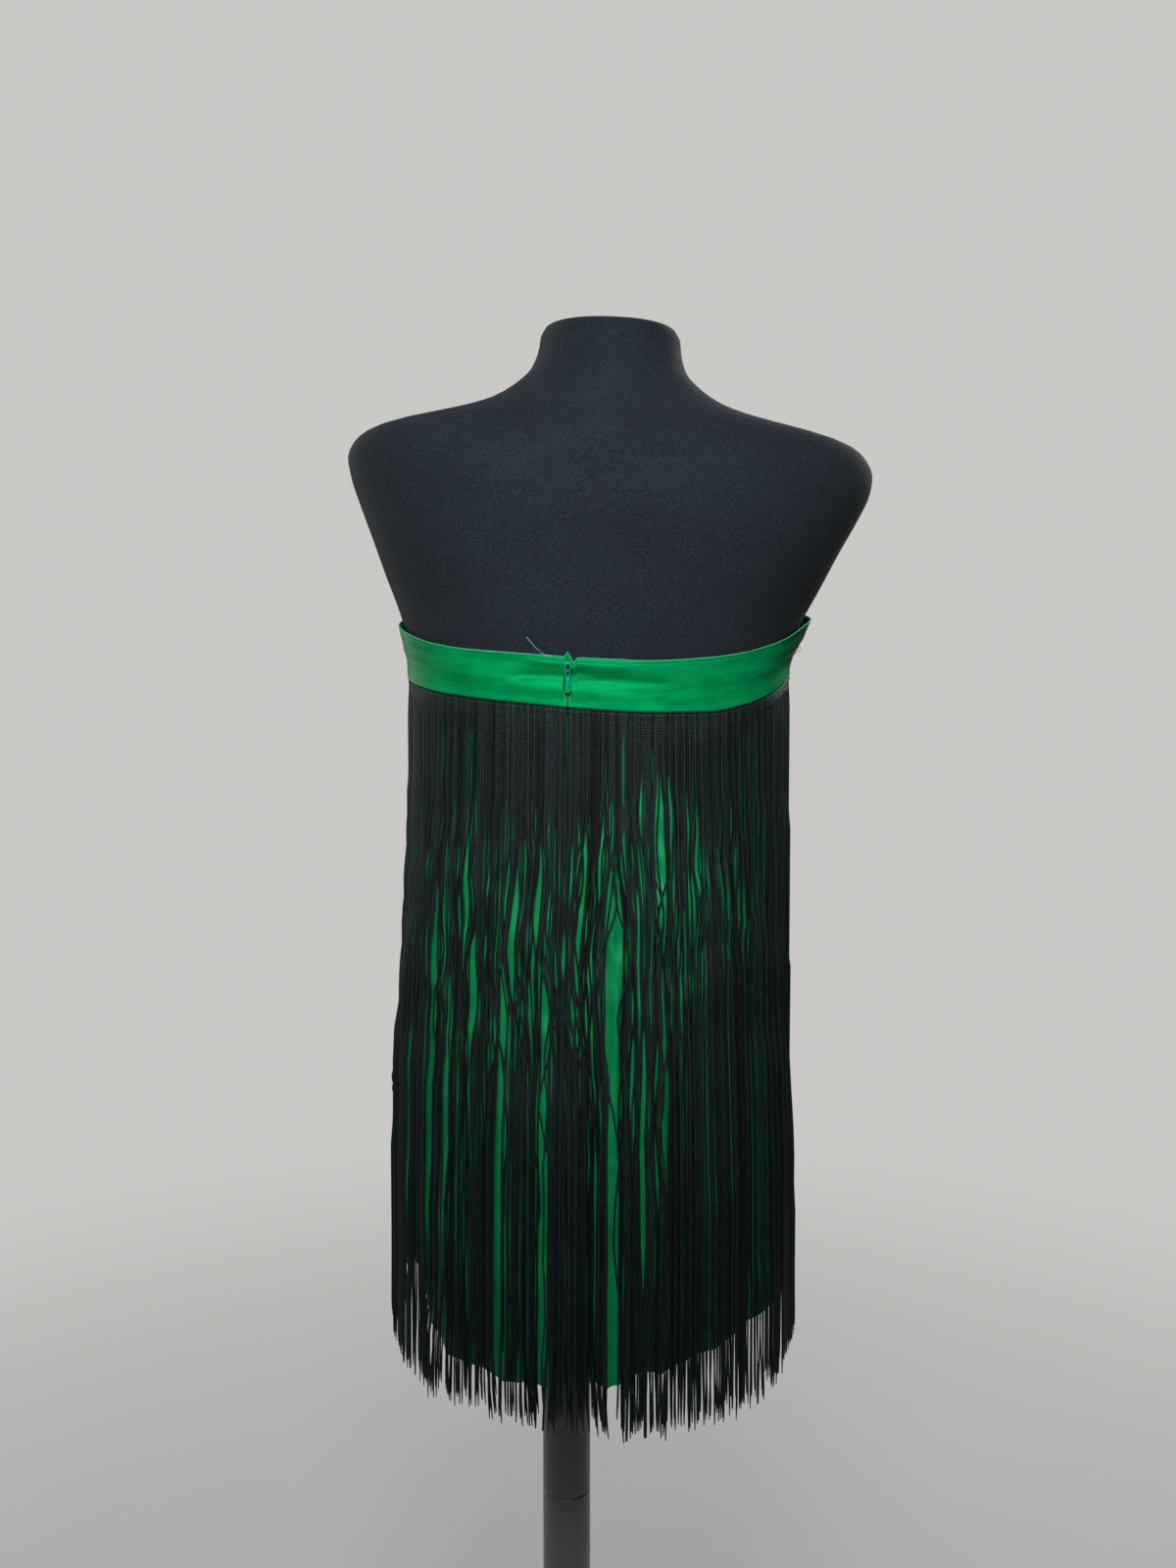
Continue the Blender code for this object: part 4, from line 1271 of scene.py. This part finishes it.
def add_heading(name, first, last):
    """The fringe's heading tape under the band, with its row of stitches."""
    length = spread_evenly(first, last, TAPE_COLUMN_STEP)
    height = band_edge("bottom", length) - TAPE_DROP - TAPE_LEVELS[:, None] * TAPE_HEIGHT
    lengths = np.broadcast_to(length, height.shape)
    add_shell("fringe_heading_" + name, lengths, height, (TAPE_OUT + TAPE_THICK, TAPE_OUT),
              (0.5 + 0 * lengths, lengths, 0 * lengths), "fringe", slot="black_fringe")
    length = np.arange(first + TAPE_STITCH_INSET, last, TAPE_STITCH_PITCH)
    height = band_edge("bottom", length) - TAPE_DROP - TAPE_STITCH_DROP
    out = STRAND_ROOT + STRAND_HALF_DEPTH + STRAND_LAYER * 0.6
    add_beads("heading_stitches_" + name, length, height, out, TAPE_STITCH, "grey_thread")


def add_loops():
    """The few strands that loop out beyond the others."""
    turn = np.linspace(-LOOP_TURN, LOOP_TURN, 28)
    for number, loop in enumerate(LOOPS, 1):
        height = loop.height - turn * loop.spread
        length = loop.around + LOOP_SWAY * np.sin(3 * turn)
        out = satin_depth(length, height) + LOOP_REACH + loop.out * np.exp(-turn**2)
        thin_tube("strand_loop_%d" % number, dress_place(length, height, out),
                  STRAND_HALF_DEPTH, "fringe")


# The zip

def add_zip_tape():
    """The zip's tape: raised beside its middle, and folded to a small tent above the band."""
    columns = np.linspace(-1.0, 1.0, 13)
    top = BAND_EDGES[0].top + ZIP_TAPE_ABOVE
    bottom = BAND_EDGES[0].bottom + GAP
    height = top + (bottom - top) * ZIP_TAPE_LEVELS[:, None] + 0 * columns
    tent = np.exp(-((height - ZIP_TENT_HEIGHT) / ZIP_TENT_RISE)**2)
    half = ZIP_TAPE_HALF + ZIP_TENT_FLARE * tent
    across = columns * (half * np.clip((top - height) / ZIP_TENT_SLOPE + ZIP_TIP, ZIP_TIP, 1.0))
    raised = ZIP_RIDGE * np.exp(-((np.abs(columns) - ZIP_RIDGE_AT) / ZIP_RIDGE_SPREAD)**2)
    raised = raised - ZIP_VALLEY * np.exp(-(columns / ZIP_VALLEY_SPREAD)**2) + ZIP_TENT_OUT * tent
    tape = add_shell("satin_zip_tape", across, height,
                     (BAND_OUTER + (GAP + ZIP_TAPE_THICK + raised), BAND_OUTER + GAP),
                     (height, across, 0 * height), "satin", replaced=["zip_tape"],
                     slot="green_satin")
    rows = slice(ZIP_TENT_ROWS)
    # Pale lines along the tent's edges: a painted highlight.
    for side, name in ((0, "left"), (-1, "right")):
        edge = dress_place(across[rows, side], height[rows, side], BAND_OUTER + ZIP_EDGE_OUT)
        thin_tube("zip_tape_edge_" + name, edge, ZIP_EDGE_RADIUS, "coil_and_edge_highlight")


def add_coils():
    """The coil's two edges under the slider."""
    height = np.arange(BAND_EDGES[0].bottom + COIL_START, COIL_TOP, COIL_PITCH)
    for side, name in ((-1.0, "left"), (1.0, "right")):
        add_beads("zip_coil_" + name, np.full(height.shape, side * COIL_HALF), height,
                  BAND_OUTER + COIL_OUT, COIL_BEAD, "coil_and_edge_highlight", upright=True)


def mirrored(half):
    """A closed outline from its right half, from top to bottom."""
    return half + [(-x, z) for x, z in reversed(half)]


def add_pull():
    """The teardrop tab with the slot that it hangs by, and a ridge down it in pale enamel, a
    painted highlight.
    """
    below = np.linspace(PULL_OUTLINE[0].below, PULL_OUTLINE[-1].below, PULL_STEPS)
    wide = curve(PULL_OUTLINE, "half_width", below)
    outline = mirrored([(float(x), -float(z)) for x, z in zip(wide, below)])
    reach = PULL_HOLE_LENGTH / 2
    middle = PULL_HOLE_TOP - reach
    hole = [(PULL_HOLE_HALF * math.sin(turn)**0.6, middle + reach * math.cos(turn))
            for turn in np.linspace(0.0, math.pi, PULL_STEPS)[1:-1]]
    hole = mirrored([(PULL_HOLE_END, middle + reach)] + hole + [(PULL_HOLE_END, middle - reach)])
    points = [(x, y, z) for y in (-PULL_THICKNESS / 2, PULL_THICKNESS / 2)
              for loop in (outline, hole) for x, z in loop]
    size = len(outline)
    faces = []
    for corner in range(size):
        beside = (corner + 1) % size
        for first, second in ((1, 0), (2, 3), (3, 1), (0, 2)):
            faces.append([first * size + corner, first * size + beside,
                          second * size + beside, second * size + corner])
    tab = add_mesh("pull_tab", np.add(points, PULL_PIVOT), faces, "enamel", "pull", ["zip_pull"],
                   "green_trim")
    tab.data.set_sharp_from_angle(angle=math.radians(40))
    bevel = tab.modifiers.new("rounded", "BEVEL")
    bevel.width = PULL_THICKNESS * PULL_BEVEL
    bevel.segments = 3
    bevel.limit_method = "ANGLE"
    # The ridge is a thin tube in pale enamel: a painted highlight down the tab.
    drop = np.linspace(*PULL_RIDGE_SPAN, 12)
    rise = np.sin(np.linspace(0.0, math.pi, 12))
    out = -PULL_RIDGE_OUT - PULL_RIDGE_SWELL * rise**0.5
    path = np.stack([0 * drop, out, -drop], -1) + PULL_PIVOT
    thin_tube("pull_ridge", path, PULL_RIDGE_RADIUS, "painted_highlight_enamel", sides=8, body="pull")


def add_slider():
    """The slider: a rounded body with the bail that holds the pull, and the eye above it."""
    heights, half = np.array(SLIDER).T[..., None]
    turns = full_turn(SLIDER_SIDES)
    deep = (SLIDER_BACK - SLIDER_FACE) / 2
    x, y = rounded(turns, half, deep * np.sqrt(half / half.max()), SLIDER_SQUARENESS)
    points = np.stack([ZIP_X + x, (SLIDER_BACK + SLIDER_FACE) / 2 + y, heights + 0 * x], -1)
    # The body is near-black enamel: painted shade behind the eye.
    add_mesh("slider_body", points, tube_faces(*x.shape), "painted_shade_enamel",
             replaced=["zip_slider"], slot="green_trim")
    bow = np.linspace(0.0, math.pi, 13)
    bail = np.stack([np.full(13, ZIP_X), SLIDER_FACE + BAIL_SINK - BAIL_OUT * np.sin(bow),
                     PULL_PIVOT[2] - BAIL_HALF * np.cos(bow)], -1)
    thin_tube("slider_bail", bail, BAIL_RADIUS, "enamel")
    # The eye is pale enamel: a painted highlight on its rim.
    ring = np.linspace(0.0, 2 * math.pi, 25)
    loop = np.stack([ZIP_X + EYE_HALF_WIDTH * np.sin(ring), np.full(25, SLIDER_FACE - EYE_OUT),
                     EYE_HEIGHT - EYE_HALF_HEIGHT * np.cos(ring)], -1)
    thin_tube("slider_loop", loop, EYE_RADIUS, "painted_highlight_enamel")


def add_loose_threads():
    """Thread ends above the band, and the curl at the right."""
    thin_tube("thread_end_left", THREAD_END, THREAD_END_RADIUS, "loose_thread")
    thin_tube("thread_curl_right", THREAD_CURL, THREAD_CURL_RADIUS, "brown_thread")


def add_dress():
    """Panel by panel, short of each seam by half a gap; the front's fringe is in two pieces."""
    chance = np.random.default_rng(FRINGE_SEED)
    for panel in PANELS:
        first = panel.start * ROUND + GAP / 2
        last = panel.end * ROUND - GAP / 2
        add_band_piece(panel, first, last)
        add_skirt_panel(panel, first, last)
        add_heading(panel.name, first, last)
        parts = [("", first, last)]
        if panel.name == "front":
            middle = (first + last) / 2
            parts = [("_right", first, middle), ("_left", middle, last)]
        for side, start, end in parts:
            add_strands("strands_" + panel.name + side, start, end, chance,
                        ["fringe_" + panel.name])
    add_loops()


# Floor, light and camera

def add_floor():
    """A plain pale floor whose far rim melts into the pale surround."""
    radius = np.linspace(0.0, 1.0, FLOOR_RINGS + 1)[1:, None]**1.5 * FLOOR_RADIUS
    turns = full_turn(FLOOR_COLUMNS)
    points = np.stack([radius * np.cos(turns), radius * np.sin(turns),
                       0 * radius * turns - FLOOR_DROP], -1)
    faces = grid_faces(FLOOR_RINGS, FLOOR_COLUMNS, closed=True)
    faces.append(list(range(FLOOR_COLUMNS)))
    mesh = bpy.data.meshes.new("floor")
    mesh.from_pydata(points.reshape(-1, 3).tolist(), [], faces)
    look = Look("pale_floor", FLOOR_COLOUR, 0.9, Emission_Strength=0.2,
                Emission_Color=(*FLOOR_COLOUR, 1.0))
    place = look.node("TexCoord", output="Object")
    look.colour(look.grain(place, 5.0, 4.0), (0.645, 0.64, 0.63), (0.665, 0.66, 0.65))
    far = look.node("VectorMath", {0: place}, "Value", operation="LENGTH")
    look.feed("Alpha", look.node("MapRange", {"Value": far, "From Min": FLOOR_FADE,
                                              "From Max": FLOOR_RADIUS, "To Min": 1.0,
                                              "To Max": 0.0}, interpolation_type="SMOOTHSTEP"))
    mesh.materials.append(look.material)
    floor = new_object("floor", mesh)
    floor.visible_diffuse = False


def add_surround():
    """A pale plain surround, which lights the object more faintly than it looks."""
    world = bpy.data.worlds.new("pale_surround")
    world.use_nodes = True
    tree = world.node_tree
    tree.nodes["Background"].inputs["Color"].default_value = (*SURROUND, 1.0)
    seen = tree.nodes.new("ShaderNodeLightPath").outputs["Is Camera Ray"]
    strength = tree.nodes.new("ShaderNodeMapRange")
    strength.inputs["To Min"].default_value = SURROUND_LIGHT
    tree.links.new(seen, strength.inputs["Value"])
    tree.links.new(strength.outputs["Result"], tree.nodes["Background"].inputs["Strength"])
    bpy.context.scene.world = world


def add_lamps():
    for lamp in LAMPS:
        data = bpy.data.lights.new(lamp.name, "AREA")
        data.size = lamp.size
        data.spread = math.radians(lamp.spread)
        data.energy = lamp.power
        data.color = lamp.colour
        aim = np.array(lamp.aim) - np.array(lamp.place)
        new_object(lamp.name, data, lamp.place, (math.acos(-aim[2] / np.linalg.norm(aim)), 0.0,
                                                 math.atan2(aim[1], aim[0]) - math.pi / 2))


def add_camera():
    data = bpy.data.cameras.new("camera")
    data.sensor_fit = "VERTICAL"
    data.sensor_height = CAMERA_SENSOR
    data.sensor_width = CAMERA_SENSOR
    data.lens = CAMERA_LENS
    turn = (math.pi / 2 - CAMERA_DOWN, 0.0, 0.0)
    bpy.context.scene.camera = new_object("camera", data, CAMERA_PLACE, turn)


add_form_cover()
finish_stand()
add_dress()
add_zip_tape()
add_coils()
add_pull()
add_slider()
add_loose_threads()
add_floor()
add_surround()
add_lamps()
add_camera()
bpy.context.scene.view_settings.view_transform = "Standard"
